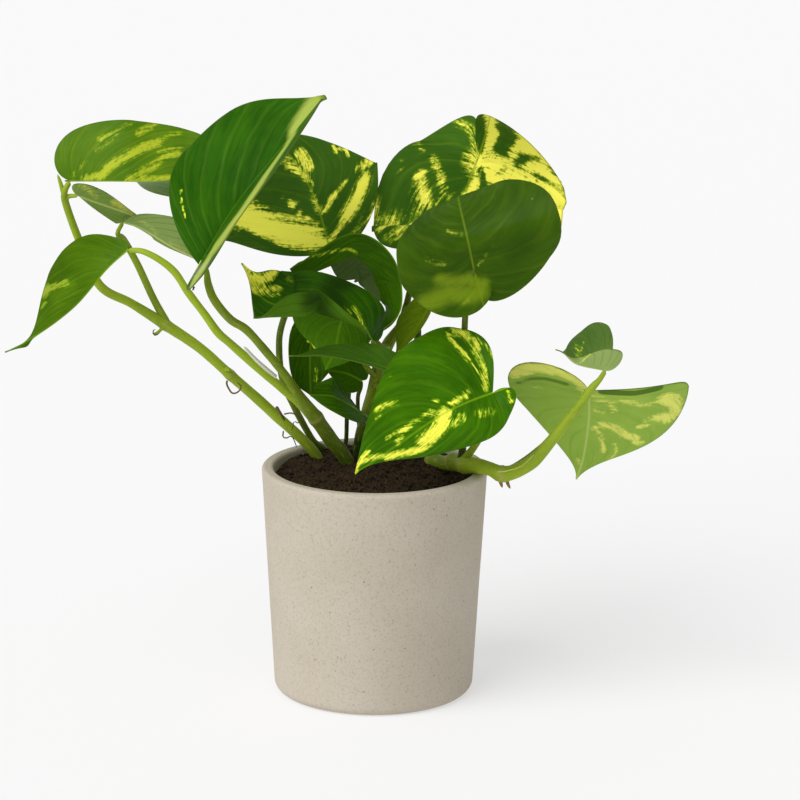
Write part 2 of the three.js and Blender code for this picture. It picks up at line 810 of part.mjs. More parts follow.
function toGeometry(solid) {
  const mesh = solid.getMesh();
  const geometry = new THREE.BufferGeometry();
  geometry.setAttribute('position', new THREE.Float32BufferAttribute(mesh.vertProperties, 3));
  geometry.setIndex(new THREE.Uint32BufferAttribute(mesh.triVerts, 1));
  return geometry;
}

function stemSolid(stem, extra) {
  const stalks = stem.branches.map((branch) => toSolid(stalkGeometry(branchPoints(branch), extra)));
  return stalks.reduce((whole, stalk) => whole.add(stalk));
}

// A solid turned about the Z axis from points of radius and height.
function turnedSolid(profile) {
  return toSolid(new THREE.LatheGeometry(profile, pot.facets).rotateX(Math.PI / 2));
}

// Quarter circle of a rounded edge, as lathe points about a centre.
function quarter(centreRadius, centreHeight, round, from) {
  const points = [];
  for (let i = 0; i <= pot.roundSteps; i++) {
    const angle = from + (Math.PI / 2) * (i / pot.roundSteps);
    points.push(new THREE.Vector2(centreRadius + round * Math.cos(angle), centreHeight + round * Math.sin(angle)));
  }
  return points;
}

// Radius of the pot's inside at a height.
function innerRadius(height) {
  return THREE.MathUtils.lerp(pot.footRadius, pot.rimRadius, height / pot.height) - pot.wall;
}

function potGeometry() {
  const innerTop = innerRadius(pot.height);
  const profile = [
    new THREE.Vector2(0, 0),
    ...quarter(pot.footRadius - pot.footRound, pot.footRound, pot.footRound, -Math.PI / 2),
    ...quarter(pot.rimRadius - pot.lipRound, pot.height - pot.lipRound, pot.lipRound, 0),
    ...quarter(innerTop + pot.lipRound, pot.height - pot.lipRound, pot.lipRound, Math.PI / 2),
    new THREE.Vector2(innerRadius(pot.floor), pot.floor),
    new THREE.Vector2(0, pot.floor),
  ];
  return toGeometry(turnedSolid(profile));
}

function soilGeometry() {
  const bottom = pot.floor + clearance;
  const edge = pot.height - soil.edgeDrop;
  const edgeRadius = innerRadius(edge) - clearance;
  const profile = [new THREE.Vector2(0, bottom), new THREE.Vector2(innerRadius(bottom) - clearance, bottom)];
  for (let i = 0; i <= soil.rings; i++) {
    const share = 1 - i / soil.rings;
    profile.push(new THREE.Vector2(edgeRadius * share, edge + soil.mound * (1 - share * share)));
  }
  let solid = turnedSolid(profile);
  for (const stem of Object.values(stems)) {
    solid = solid.subtract(stemSolid(stem, clearance));
  }
  return toGeometry(solid);
}

// ---------------------------------------------------------------------------
// The plant

const group = new THREE.Group();

function addPart(name, geometry, colour, roughness) {
  const material = new THREE.MeshStandardMaterial({ color: colour, roughness, metalness: 0 });
  const mesh = new THREE.Mesh(geometry, material);
  mesh.name = name;
  group.add(mesh);
}

addPart('pot', potGeometry(), 0xc0b7a6, 0.85);
addPart('soil', soilGeometry(), 0x2b211b, 0.95);
for (const [name, stem] of Object.entries(stems)) {
  addPart(name, toGeometry(stemSolid(stem, 0)), stem.colour, 0.5);
}
for (const [name, leaf] of Object.entries(leaves)) {
  addPart(name, sheetGeometry(bladeGrid(leaf), blade.thickness), leaf.colour, 0.35);
}

export default group;
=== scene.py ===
import math

import bpy
import numpy as np
from mathutils import Matrix, Vector


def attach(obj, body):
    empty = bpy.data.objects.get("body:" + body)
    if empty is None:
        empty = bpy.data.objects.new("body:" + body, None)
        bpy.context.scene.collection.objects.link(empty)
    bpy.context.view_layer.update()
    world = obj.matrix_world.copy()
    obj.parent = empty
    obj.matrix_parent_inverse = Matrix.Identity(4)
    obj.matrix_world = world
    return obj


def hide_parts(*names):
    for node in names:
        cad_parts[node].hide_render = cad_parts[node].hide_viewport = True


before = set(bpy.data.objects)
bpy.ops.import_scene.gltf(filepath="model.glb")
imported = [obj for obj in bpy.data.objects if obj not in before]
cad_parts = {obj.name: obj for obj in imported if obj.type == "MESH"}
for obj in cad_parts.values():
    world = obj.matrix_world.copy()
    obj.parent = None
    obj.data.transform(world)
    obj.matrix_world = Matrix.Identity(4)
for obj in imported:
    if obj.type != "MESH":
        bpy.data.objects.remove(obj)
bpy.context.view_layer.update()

# A golden pothos in a tapered stoneware pot. Sizes below are millimetres in the frame of the CAD model,
# and each mesh is scaled to metres as it is made.

mm = 0.001


# Maths on shader sockets. An expression on Socket values adds the Math nodes that work it out.
class Socket:
    def __init__(self, kit, plug):
        self.kit = kit
        self.plug = plug

    def math(self, operation, first, second):
        return self.kit.node("ShaderNodeMath", {"operation": operation}, {0: first, 1: second})

    def __add__(self, other):
        return self.math("ADD", self, other)

    def __sub__(self, other):
        return self.math("SUBTRACT", self, other)

    def __rsub__(self, other):
        return self.math("SUBTRACT", other, self)

    def __mul__(self, other):
        return self.math("MULTIPLY", self, other)

    def __pow__(self, other):
        return self.math("POWER", self, other)

    __radd__ = __add__
    __rmul__ = __mul__


class Finish:
    def __init__(self, name):
        self.material = bpy.data.materials.new(name)
        self.material.use_nodes = True
        self.tree = self.material.node_tree
        self.shader = self.tree.nodes["Principled BSDF"]

    # Adds a node: its settings go in first, then a value or a link for each socket named.
    def node(self, kind, settings=None, sockets=None, output=0):
        made = self.tree.nodes.new(kind)
        for name, value in (settings or {}).items():
            setattr(made, name, value)
        for name, value in (sockets or {}).items():
            self.feed(made.inputs[name], value)
        return Socket(self, made.outputs[output])

    def feed(self, plug, value):
        if isinstance(value, Socket):
            self.tree.links.new(value.plug, plug)
        else:
            plug.default_value = value

    def mix(self, factor, first, second):
        sockets = {0: factor, 6: first, 7: second}
        return self.node("ShaderNodeMix", {"data_type": "RGBA", "clamp_factor": True}, sockets, 2)

    # Goes smoothly from 0 to 1 as the value goes from low to high.
    def step(self, value, low, high):
        sockets = {"Value": value, "From Min": low, "From Max": high}
        return self.node("ShaderNodeMapRange", {"interpolation_type": "SMOOTHSTEP"}, sockets)

    def noise(self, vector, scale, detail=2.0, roughness=0.5):
        sockets = {"Vector": vector, "Scale": scale, "Detail": detail, "Roughness": roughness}
        return self.node("ShaderNodeTexNoise", None, sockets)

    # The number that a mesh keeps under this name at each point.
    def attribute(self, name):
        return self.node("ShaderNodeAttribute", {"attribute_name": name}, None, 2)

    # Object coordinates.
    def place(self):
        return self.node("ShaderNodeTexCoord", None, None, 3)

    def bump(self, height, distance, strength):
        sockets = {"Height": height, "Distance": distance, "Strength": strength}
        return self.node("ShaderNodeBump", None, sockets)

    def wear(self, **sockets):
        for name, value in sockets.items():
            self.feed(self.shader.inputs[name.replace("_", " ")], value)
        return self.material


# A colour given as 0 to 255 on a screen, as the shader wants it.
def tone(red, green, blue):
    screen = np.array([red, green, blue]) / 255
    linear = np.where(screen <= 0.04045, screen / 12.92, ((screen + 0.055) / 1.055) ** 2.4)
    return (*linear.tolist(), 1.0)


# A mesh from arrays of points and faces. Each layer is a number for each point, which a finish can read.
def makePiece(name, points, faces, material, replaces=None, layers=None, sharp=50):
    mesh = bpy.data.meshes.new(name)
    mesh.from_pydata((np.asarray(points) * mm).tolist(), [], [list(face) for face in faces])
    mesh.polygons.foreach_set("use_smooth", np.ones(len(mesh.polygons), bool))
    for layer, values in (layers or {}).items():
        made = mesh.attributes.new(layer, "FLOAT", "POINT")
        made.data.foreach_set("value", np.asarray(values, np.float32).ravel())
    mesh.validate()
    mesh.set_sharp_from_angle(angle=math.radians(sharp))
    mesh.materials.append(material)
    piece = bpy.data.objects.new(name, mesh)
    bpy.context.scene.collection.objects.link(piece)
    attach(piece, "root")
    if replaces:
        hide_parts(replaces)
    return piece


# Quads of a grid of rows by columns whose first point has the number first. Wrapped grids close on the
# first column again. Their normals follow columns x rows.
def gridFaces(rows, columns, first=0, wrap=False, flip=False):
    r = np.arange(rows - 1)[:, None]
    c = np.arange(columns if wrap else columns - 1)[None, :]
    after = (c + 1) % columns
    corners = [r * columns + c, r * columns + after, (r + 1) * columns + after, (r + 1) * columns + c]
    quads = np.stack([first + corner + 0 * r * c for corner in corners], -1).reshape(-1, 4)
    return quads[:, ::-1] if flip else quads


# Smooth unevenness from -1 to 1: a sum of sine waves whose lengths and directions come from the seed.
def ripple(points, size, seed, waves=9):
    draw = np.random.default_rng(seed)
    directions = draw.normal(size=(waves, np.shape(points)[-1]))
    directions /= np.linalg.norm(directions, axis=1, keepdims=True)
    lengths = size * draw.uniform(0.6, 1.7, waves)
    phases = draw.uniform(0, 2 * np.pi, waves)
    turns = np.asarray(points) @ (directions / lengths[:, None]).T * 2 * np.pi + phases
    return np.sin(turns).sum(-1) / math.sqrt(waves) / 1.4


# A smooth curve through points: each span is the cubic whose slope at a point is half the way between the
# points either side. Its places are looked up by their share of the whole length.
class Path:
    def __init__(self, points, steps=24):
        given = np.asarray(points, float)
        ends = np.vstack([2 * given[0] - given[1], given, 2 * given[-1] - given[-2]])
        before, start, end, after = ends[:-3], ends[1:-2], ends[2:-1], ends[3:]
        k = np.linspace(0, 1, steps, endpoint=False)[None, :, None]
        leave = (end - before)[:, None] / 2
        reach = (after - start)[:, None] / 2
        span = (end - start)[:, None]
        places = start[:, None] + leave * k + (3 * span - 2 * leave - reach) * k**2
        places = places + (leave + reach - 2 * span) * k**3
        self.places = np.vstack([places.reshape(-1, given.shape[1]), given[-1:]])
        self.knots = np.arange(len(self.places)) / steps
        strides = np.linalg.norm(np.diff(self.places[:, :3], axis=0), axis=1)
        self.run = np.concatenate([[0], np.cumsum(strides)])
        self.length = self.run[-1]
        self.slopes = np.gradient(self.places[:, :3], self.run, axis=0)

    def look(self, table, share):
        at = np.clip(share, 0, 1) * self.length
        found = [np.interp(at, self.run, column) for column in table.T]
        return np.stack(found, -1)

    def at(self, share):
        return self.look(self.places, share)

    def along(self, share):
        return unit(self.look(self.slopes, share))


def unit(vectors):
    return vectors / np.maximum(np.linalg.norm(vectors, axis=-1, keepdims=True), 1e-9)


# Goes smoothly from 0 to 1 as the value goes from low to high: k^2 * (3 - 2k).
def smooth(value, low, high):
    k = np.clip((value - low) / (high - low), 0, 1)
    return k * k * (3 - 2 * k)


# The usual heart shape, as shares of a half's width, lobe and length. A leaf's own "shape" goes before it.
heart = {
    "lobeStart": 0.2, "lobeOut": 0.95, "lobeBack": 1.5, "lobeSide": 1.2,
    "sideUp": 0.33, "tipIn": 0.2, "tipUp": 0.84,
}
blade = {
    "thickness": 0.7, "rows": 90, "columns": 22, "reachPower": 0.85, "stalkHalfWidth": 2.6,
    "tipHalfWidth": 0.4, "foldFrom": 1, "foldWhole": 5, "veinPower": 1.8, "grooveDepth": 0.35,
    "grooveWidth": 1.1, "wave": 0.5,
}


def bezier(a, b, c, d, k):
    return (1 - k) ** 3 * a + 3 * (1 - k) ** 2 * k * b + 3 * (1 - k) * k**2 * c + k**3 * d


# Flat outline of one half, as distances across and along the midrib. Its first cubic goes from the notch at
# the stalk round the lobe to the widest place, and its second one from there to the tip.
def outline(leaf, half, length, t):
    shape = {}
    for name, usual in heart.items():
        own = leaf.get("shape", {}).get(name, usual)
        shape[name] = own[half] if isinstance(own, tuple) else own
    width, lobe = leaf["width"][half], leaf["lobe"][half]
    widest = leaf["widest"][half] * length
    outer, back = shape["lobeStart"] * width, shape["lobeBack"] * lobe
    start = blade["stalkHalfWidth"] / math.hypot(outer, back)
    first = (start * outer, -start * back)
    k = np.clip(2 * t, 0, 1)
    across = bezier(first[0], outer, shape["lobeOut"] * width, width, k)
    along = bezier(first[1], -back, -shape["lobeSide"] * lobe, widest, k)
    k = np.clip(2 * t - 1, 0, 1)
    tipAcross = bezier(width, width, shape["tipIn"] * width, blade["tipHalfWidth"], k)
    tipAlong = bezier(widest, widest + shape["sideUp"] * length, shape["tipUp"] * length, length, k)
    return np.where(t <= 0.5, across, tipAcross), np.where(t <= 0.5, along, tipAlong)


# Angles given at evenly spaced stations from stalk to tip, read at each share of the midrib, in radians.
def angleAt(stations, half, share):
    values = [station[half] for station in stations]
    return np.radians(np.interp(share, np.linspace(0, 1, len(values)), values))


# One half of a blade for rows t from stalk to tip and reaches from the midrib to the margin. The flat rib
# of a row runs from length * t^power on the midrib to the outline. Then each half tilts about the midrib by
# its fold, and rolls up into an arc by its curl: chord = across * sin(turn/2) / (turn/2).
def halfBlade(leaf, half, path, t, reach):
    sign = (-1, 1)[half]
    length = path.length
    edgeAcross, edgeAlong = outline(leaf, half, length, t)
    ribAlong = length * t ** blade["veinPower"]
    across = reach * edgeAcross
    along = ribAlong + reach * (edgeAlong - ribAlong)
    share = np.clip(along / length, 0, 1)
    place, forward = path.at(share), path.along(share)
    first, last = np.array(leaf["face"][0], float), np.array(leaf["face"][-1], float)
    up = first + (last - first) * share[..., None]
    up = unit(up - (up * forward).sum(-1, keepdims=True) * forward)
    side = np.cross(forward, up)
    back = np.minimum(along, 0)[..., None]
    rise = leaf.get("rise", (0, 0))[half]
    place = place + forward * back + up * rise * (back / max(leaf["lobe"][half], 1)) ** 2
    whole = np.where(t < 0.5, 1, smooth(edgeAcross, blade["foldFrom"], blade["foldWhole"]))
    fold = angleAt(leaf.get("fold", [(0, 0)]), half, share) * whole
    turn = angleAt(leaf.get("curl", [(0, 0)]), half, share) * across / leaf["width"][half]
    bent = fold + turn / 2
    chord = across * np.sinc(turn / 2 / np.pi)
    place = place + side * (sign * chord * np.cos(bent))[..., None] + up * (chord * np.sin(bent))[..., None]
    lean = sign * (fold + turn)
    outward = up * np.cos(lean)[..., None] - side * np.sin(lean)[..., None]
    waves = leaf.get("wave", blade["wave"]) * reach**2 * np.sin(3 * np.pi * t + 2 * half) * np.sin(np.pi * t)
    groove = blade["grooveDepth"] * np.exp(-((across / blade["grooveWidth"]) ** 2)) * (1 - t)
    return place + outward * (waves - groove)[..., None], outward, across + 0 * t


# The whole blade as a grid: places, outward directions, the reach s from -1 at the left margin to 1 at the
# right one, and the distance from the midrib.
def bladeGrid(leaf):
    path = Path(leaf["midrib"])
    t = np.linspace(0, 1, blade["rows"] + 1)[:, None]
    reach = np.linspace(0, 1, blade["columns"] + 1)[None, :] ** blade["reachPower"]
    left, right = halfBlade(leaf, 0, path, t, reach), halfBlade(leaf, 1, path, t, reach)
    joined = [np.concatenate([a[:, :0:-1], b], axis=1) for a, b in zip(left, right)]
    middle = blade["columns"]
    joined[1][:, middle] = unit(left[1][:, 0] + right[1][:, 0])
    s = np.concatenate([-reach[:, :0:-1], reach], axis=1) + 0 * t
    return joined[0], joined[1], s, t + 0 * s, joined[2]


# One entry for each leaf. Pairs are (left, right). midrib runs from stalk to tip, and face is the way the
# upper side looks: once for the whole leaf, or at the stalk and at the tip. fold and curl are degrees at
# stations along the midrib, and own changes the leaf's look. The shading patches, given like strokes, are
# painted light and painted shade, except the one on leafBig, which paints a paler band of the leaf.
leaves = {
    "leafBig": {
        "look": "dark",
        "midrib": [
            [-96.8, -29.6, 257.8], [-77.4, -37.9, 290.8], [-55.5, -39.5, 318.6], [-27.8, -42.7, 353.7],
        ],
        "face": [[0.03, -0.96, 0.36]], "width": (53.7, 40.3), "widest": (0.365, 0.408), "lobe": (1.4, 14.6),
        "rise": (0, -1.3), "fold": [(-31, 84)], "curl": [(-4, -21)],
        "shape": {
            "lobeStart": (0, 0.15), "lobeOut": (1.2, 0.79), "lobeBack": (1.63, 1.73),
            "lobeSide": (1.17, 1.18), "sideUp": (0.37, 0.54), "tipIn": (0.33, 0.44), "tipUp": (0.82, 0.95),
        },
        "wave": 1, "strokes": [(1.1, 0.5, (-0.77, 0.39), (-0.7, 0.35), (-0.62, 0.31))],
        "paintedShadingAndTone": [
            (
                1, 4.9, (0.88, 0.29), (0.73, 0.415), (0.95, 0.5), (0.77, 0.595), (0.68, 0.735),
                (-0.23, 0.925), (-0.47, 0.965),
            ),
        ],
        "own": {"green": tone(46, 94, 3), "deep": tone(26, 68, 1), "light": tone(152, 168, 72)},
    },
    "leafUpperLeft": {
        "look": "variegated",
        "midrib": [[-173.9, 11.4, 295.7], [-140.2, 5.5, 296.7], [-109.4, 7.4, 296.3], [-82.1, -0.5, 288]],
        "face": [[-0.01, -1, 0.35]], "width": (36.5, 33.1), "widest": (0.34, 0.361), "lobe": (11, 6),
        "rise": (-1.4, 0), "fold": [(5, -102), (4, -108), (-5, -84), (1, -60)], "curl": [(-17, 11)],
        "shape": {
            "lobeOut": (1.02, 0.95), "lobeBack": (1.47, 1.5), "lobeSide": (1.25, 1.2),
            "sideUp": (0.54, 0.41), "tipIn": (0.27, 0.2), "tipUp": (0.93, 0.84),
        },
        "wave": 1,
        "strokes": [
            (1, 2.7, (-0.2, 0.45), (-0.38, 0.515), (-0.68, 0.6)),
            (0.9, 2.2, (-0.05, 0.28), (-0.1, 0.41), (-0.23, 0.47)),
            (0.8, 2.0, (-0.07, 0.565), (-0.25, 0.635), (-0.58, 0.675)),
            (0.9, 1.6, (-0.03, 0.55), (-0.03, 0.67), (-0.07, 0.745)),
            (0.7, 2.0, (-0.78, 0.54), (-0.98, 0.57)), (0.5, 1.8, (-0.63, 0.59), (-0.92, 0.625)),
            (0.5, 1.8, (-0.7, 0.425), (-0.77, 0.475), (-0.93, 0.505)),
            (0.4, 2.0, (-0.53, 0.41), (-0.68, 0.46)), (0.35, 1.4, (-0.15, 0.16), (-0.37, 0.345)),
            (0.6, 1.2, (-0.5, 0.62), (-0.67, 0.67)),
        ],
        "own": {
            "green": tone(92, 124, 18), "deep": tone(66, 104, 12), "gold": tone(166, 178, 44),
            "lime": tone(122, 148, 24),
        },
    },
    "leafYoung": {
        "look": "pale", "midrib": [[-169, 7.1, 288.2], [-155, 14, 281.7], [-135.6, 22, 273.2]],
        "face": [[0.03, 0.88, 0.43]], "width": (11, 8.5), "widest": (0.753, 0.242), "lobe": (3.5, 4.5),
        "rise": (2.2, 0.4), "fold": [(9, 10)],
        "shape": {
            "lobeStart": (-0.64, 0.35), "lobeOut": (0.06, 1.24), "lobeBack": (2.61, 2.01),
            "lobeSide": (1.17, 1.26), "sideUp": (0.06, 0.18), "tipIn": (0.44, 0.19), "tipUp": (0.87, 0.86),
        },
        "wave": 0,
        "strokes": [(0.45, 2.0, (0.88, 0.325), (0.43, 0.49)), (0.7, 2.4, (0.72, 0.7), (0.95, 0.89))],
    },
    "leafUnderside": {
        "look": "pale",
        "midrib": [[-144.7, 18.9, 271], [-133.3, 15.2, 267.7], [-115.1, 10, 257.9], [-96.6, 7.9, 249.4]],
        "face": [[0.05, 0.83, 0.52]], "width": (2.9, 19.9), "widest": (0.387, 0.621), "lobe": (0.6, 0.8),
        "rise": (0, 0), "fold": [(36, 10)], "curl": [(4, 9)],
        "shape": {
            "lobeStart": (0.18, -0.2), "lobeOut": (0.89, 0.43), "lobeBack": (1.48, 1.44),
            "lobeSide": (1.18, 1.18), "sideUp": (0.22, 0.33), "tipUp": (0.75, 0.84),
        },
        "wave": 0.5,
        "strokes": [(0.35, 1.6, (0.4, 0.36), (0.08, 0.565)), (0.3, 2.0, (0.18, 0.68), (0.2, 0.83))],
        "own": {"below": tone(128, 146, 84)},
    },
    "leafLowerLeft": {
        "look": "green",
        "midrib": [
            [-139.4, -11.8, 260.7], [-151.4, -16.5, 250.1], [-168.9, -19.5, 229.8], [-190.5, -24.4, 213.8],
            [-208.2, -25.9, 204.4],
        ],
        "face": [[-0.31, -0.87, 0.37]], "width": (24, 25.7), "widest": (0.33, 0.262), "lobe": (4, 2.4),
        "fold": [(-122, -13), (-122, 25), (-120, 29), (-118, 2)], "curl": [(0, 16)],
        "shape": {
            "lobeStart": (0.2, 0.11), "lobeOut": (0.95, 0.93), "lobeBack": (1.5, 1.47),
            "sideUp": (0.25, 0.46), "tipIn": (0.05, -0.2), "tipUp": (0.75, 0.67),
        },
        "wave": 0.5,
        "strokes": [
            (1, 1.7, (0.93, 0.665), (0.75, 0.61), (0.55, 0.575)), (0.9, 1.6, (0.95, 0.675), (0.93, 0.63)),
            (0.6, 1.0, (0.87, 0.735), (0.83, 0.7)),
        ],
        # Painted light: a lighter patch.
        "paintedShadingAndTone": [(0.3, 5.6, (0.48, 0.66), (0.45, 0.575))],
        "own": {"green": tone(82, 118, 12), "deep": tone(58, 92, 6), "gold": tone(160, 174, 54)},
    },
    "leafBack": {
        "look": "variegated",
        "midrib": [[-26.7, 30.3, 253.7], [-34.5, 26, 282.3], [-46, 22, 305], [-62, 16, 324]],
        "face": [[0.03, -0.99, 0.15]], "width": (60, 41.5), "widest": (0.38, 0.43), "lobe": (0.7, 4.3),
        "rise": (0, 0), "fold": [(4, -6)], "curl": [(0, -6)],
        "shape": {
            "lobeStart": (0, 0.09), "lobeOut": (0.67, 0.58), "lobeBack": (1.56, 1.47),
            "lobeSide": (1.18, 1.16), "sideUp": (0.5, -0.04), "tipIn": (0.9, 0.21), "tipUp": (0.84, 0.86),
        },
        "wave": 1,
        "strokes": [
            (1.3, 7.8, (-0.28, 0.335), (-0.5, 0.455), (-0.7, 0.6)),
            (1.2, 3.0, (-0.13, 0.22), (-0.28, 0.285)), (1, 2.9, (0.35, 0.82), (0.18, 0.755)),
            (0.9, 2.5, (-0.08, 0.84), (0.02, 0.73)), (0.8, 0.6, (-0.18, 0.845), (0.02, 0.69)),
            (0.8, 0.9, (0.07, 0.715), (0.02, 0.63), (-0.02, 0.475), (-0.05, 0.225)),
            (0.9, 2.1, (0.08, 0.49), (0.27, 0.545)), (0.75, 1.2, (0.27, 0.545), (0.52, 0.58)),
            (1, 1.7, (0.12, 0.245), (0.45, 0.405)), (1.1, 3.8, (0.45, 0.415), (0.63, 0.465), (0.77, 0.495)),
            (0.85, 2.6, (0.8, 0.6), (0.98, 0.595)), (1, 1.0, (0.95, 0.745), (0.82, 0.72)),
            (0.9, 1.0, (0.95, 0.725), (0.98, 0.7), (0.88, 0.68)),
            (0.85, 0.9, (-0.27, 0.64), (-0.22, 0.555), (-0.12, 0.465)),
            (0.7, 0.7, (-0.23, 0.615), (-0.18, 0.585)), (0.7, 0.5, (-0.58, 0.685), (-0.42, 0.565)),
            (0.3, 4.0, (0.77, 0.305), (0.87, 0.38)), (0.6, 1.7, (0.98, 0.415), (1.0, 0.345)),
            (-1, 1.6, (-0.77, 0.495), (-0.82, 0.35), (-0.95, 0.21)),
        ],
        "own": {"gold": tone(255, 252, 92)},
    },
    "leafTopRight": {
        "look": "variegated",
        "midrib": [[58.1, 38.5, 305.4], [52, 41.6, 285.8], [54.8, 37.9, 266.8], [52.2, 34, 227.1]],
        "face": [[-0.1, -0.99, 0.11]], "width": (57.1, 57.8), "widest": (0.059, 0.368), "lobe": (21, 12.7),
        "rise": (10.3, -8.3), "fold": [(-5, 9)], "curl": [(-1, -3)],
        "shape": {
            "lobeStart": (-0.49, 0.18), "lobeOut": (0.65, 0.43), "lobeBack": (3.38, 2.86),
            "lobeSide": (0.81, 0.92), "sideUp": (0.92, 0.64), "tipIn": (0.24, 0.55), "tipUp": (0.9, 0.44),
        },
        "wave": 1,
        "strokes": [
            (1.05, 8.9, (-0.18, 0.275), (-0.43, 0.37), (-0.75, 0.41), (-0.9, 0.475), (-0.98, 0.52)),
            (1.2, 7.6, (-0.92, 0.32), (-0.92, 0.395)), (1.1, 4.2, (-0.97, 0.285), (-0.97, 0.335)),
            (1.2, 3.7, (-1.0, 0.185), (-0.42, 0.25)), (1.1, 5.0, (-0.48, 0.34), (-0.77, 0.325)),
            (1.1, 3.4, (-0.23, 0.395), (-0.45, 0.42)),
            (-0.78, 4.0, (-0.87, 0.24), (-0.88, 0.28), (-0.6, 0.29)),
            (-0.65, 2.5, (-0.52, 0.28), (-0.57, 0.32)),
            (-0.65, 2.4, (-0.67, 0.37), (-0.83, 0.36), (-0.92, 0.37)),
            (-0.5, 1.7, (-0.4, 0.38), (-0.45, 0.375)), (-0.5, 1.7, (-0.77, 0.425), (-0.83, 0.44)),
            (-0.4, 0.8, (-0.25, 0.265), (-0.42, 0.31)),
            (1.05, 3.4, (0.58, 0.445), (0.47, 0.475), (0.42, 0.485)),
            (0.75, 2.4, (0.62, 0.39), (0.37, 0.425), (0.2, 0.49)), (0.5, 3.8, (0.92, 0.23), (0.75, 0.165)),
            (0.55, 1.7, (0.6, 0.175), (-0.15, 0.05)), (0.5, 2.1, (0.97, 0.38), (0.83, 0.39)),
            (0.5, 1.2, (0.9, 0.435), (0.8, 0.45)), (0.55, 5.9, (0.87, 0.495), (0.67, 0.505)),
            (0.6, 5.1, (0.83, 0.605), (0.77, 0.6)), (0.9, 1.7, (0.98, 0.47), (1.0, 0.48)),
            (0.55, 1.5, (0.15, 0.48), (0.35, 0.5), (0.5, 0.505)), (0.4, 2.5, (0.6, 0.465), (0.52, 0.505)),
            (1.2, 2.1, (-0.15, 0.205), (-0.08, 0.25)),
            (1.1, 2.5, (-0.12, 0.335), (-0.07, 0.455), (0.0, 0.49)),
            (-1, 1.2, (-0.15, 0.32), (-0.18, 0.41), (-0.17, 0.45)),
            (-0.5, 1.3, (-0.72, 0.13), (-0.2, 0.195)),
        ],
    },
    "leafRound": {
        "look": "olive",
        "midrib": [[54.7, -37.9, 257.2], [50.6, -43.9, 276.5], [46.4, -18.5, 292.3], [49.5, 12.1, 286.4]],
        "face": [[0.05, -0.9, 0.24], [-0.24, -0.25, 1.05]], "width": (42.1, 53.2), "widest": (0.098, 0.222),
        "lobe": (27, 18.2), "rise": (15.9, 0.9), "fold": [(12, 10), (-31, 11)], "curl": [(2, 10)],
        "shape": {
            "lobeStart": (-0.63, -0.14), "lobeOut": (0.83, 0.73), "lobeBack": (0.89, 2.23),
            "lobeSide": (1.31, 1.11), "sideUp": (0.34, 0.24), "tipIn": (0.12, 0.24), "tipUp": (0.7, 0.71),
        },
        "wave": 1,
        "strokes": [
            (0.38, 1.5, (-0.23, 0.56), (-0.05, 0.485)), (0.38, 2.0, (-0.57, 0.5), (-0.42, 0.45)),
            (0.38, 1.1, (0.18, 0.24), (0.25, 0.37), (0.3, 0.43)), (0.45, 1.6, (-0.8, 0.295), (-0.78, 0.26)),
            (0.4, 0.6, (0.83, 0.595), (0.8, 0.58)),
        ],
        # Painted shade: two darker bands on a leaf that lies in shade. Painted light: two lighter patches on
        # the lower lobe.
        "paintedShadingAndTone": [
            (-0.45, 8.3, (0.65, 0.57), (0.62, 0.485), (0.6, 0.41)),
            (-0.4, 4.4, (-0.3, 0.48), (-0.18, 0.385)),
            (0.75, 5.6, (-0.95, 0.41), (-0.68, 0.35), (-0.7, 0.19)),
            (0.75, 3.9, (-0.6, 0.415), (-0.43, 0.255), (-0.65, 0.145)),
        ],
        # light and dark are the painted light and painted shade tones of these patches; green and deep are
        # dark, partly painted shade, as the leaf lies in shade.
        "own": {
            "light": tone(108, 132, 22), "dark": tone(34, 62, 3), "green": tone(60, 92, 8),
            "deep": tone(42, 70, 4),
        },
    },
    "leafFront": {
        "look": "green",
        "midrib": [
            [66.3, -40.9, 186.5], [49.9, -49.8, 182.2], [34.8, -52.7, 174.7], [12.5, -58.7, 160.3],
            [-10.3, -61.8, 144.6],
        ],
        "face": [[0.04, -0.95, 0.25]], "width": (24, 45.1), "widest": (0.177, 0.266), "lobe": (6, 9),
        "rise": (8.2, 6.3), "fold": [(31, -10), (-34, 18)], "curl": [(-35, -16)],
        "shape": {
            "lobeStart": (-0.14, 0.63), "lobeOut": (1.03, 1.13), "lobeBack": (1.99, 1.65),
            "lobeSide": (1.09, 1.28), "sideUp": (0.45, 0.25), "tipIn": (-0.13, 0.15), "tipUp": (0.77, 0.92),
        },
        "wave": 0.5,
        "strokes": [
            (1.1, 3.9, (-0.03, 0.545), (-0.22, 0.6), (-0.47, 0.69)),
            (0.9, 1.4, (0.03, 0.515), (0.08, 0.465), (0.1, 0.37)),
            (1.1, 2.0, (-0.62, 0.69), (-0.68, 0.72), (-0.65, 0.845)),
            (0.9, 1.5, (-0.73, 0.845), (0.32, 0.905), (0.9, 0.935)), (0.8, 1.1, (0.92, 0.93), (0.75, 1.0)),
            (0.7, 1.5, (0.1, 0.595), (0.18, 0.725), (0.33, 0.805)),
            (0.75, 1.6, (0.17, 0.7), (0.17, 0.755), (0.05, 0.805)), (0.9, 1.2, (0.65, 0.88), (0.83, 0.91)),
            (0.45, 1.8, (0.88, 0.745), (0.57, 0.68)), (0.4, 1.3, (0.8, 0.765), (0.75, 0.75)),
            (0.6, 0.8, (0.88, 0.63), (0.87, 0.63)), (1, 0.5, (0.23, 0.57), (0.17, 0.545)),
            (0.9, 1.9, (0.88, 0.405), (0.75, 0.39), (0.55, 0.335)),
            (0.7, 2.9, (0.93, 0.375), (0.9, 0.31), (0.8, 0.245)),
            (0.7, 2.0, (0.7, 0.275), (0.53, 0.21), (0.13, 0.19)), (0.8, 0.7, (0.55, 0.335), (0.22, 0.215)),
            (0.6, 1.0, (0.88, 0.23), (0.97, 0.115)),
            (0.7, 1.2, (-0.82, 0.14), (-0.88, 0.24), (-0.95, 0.235)),
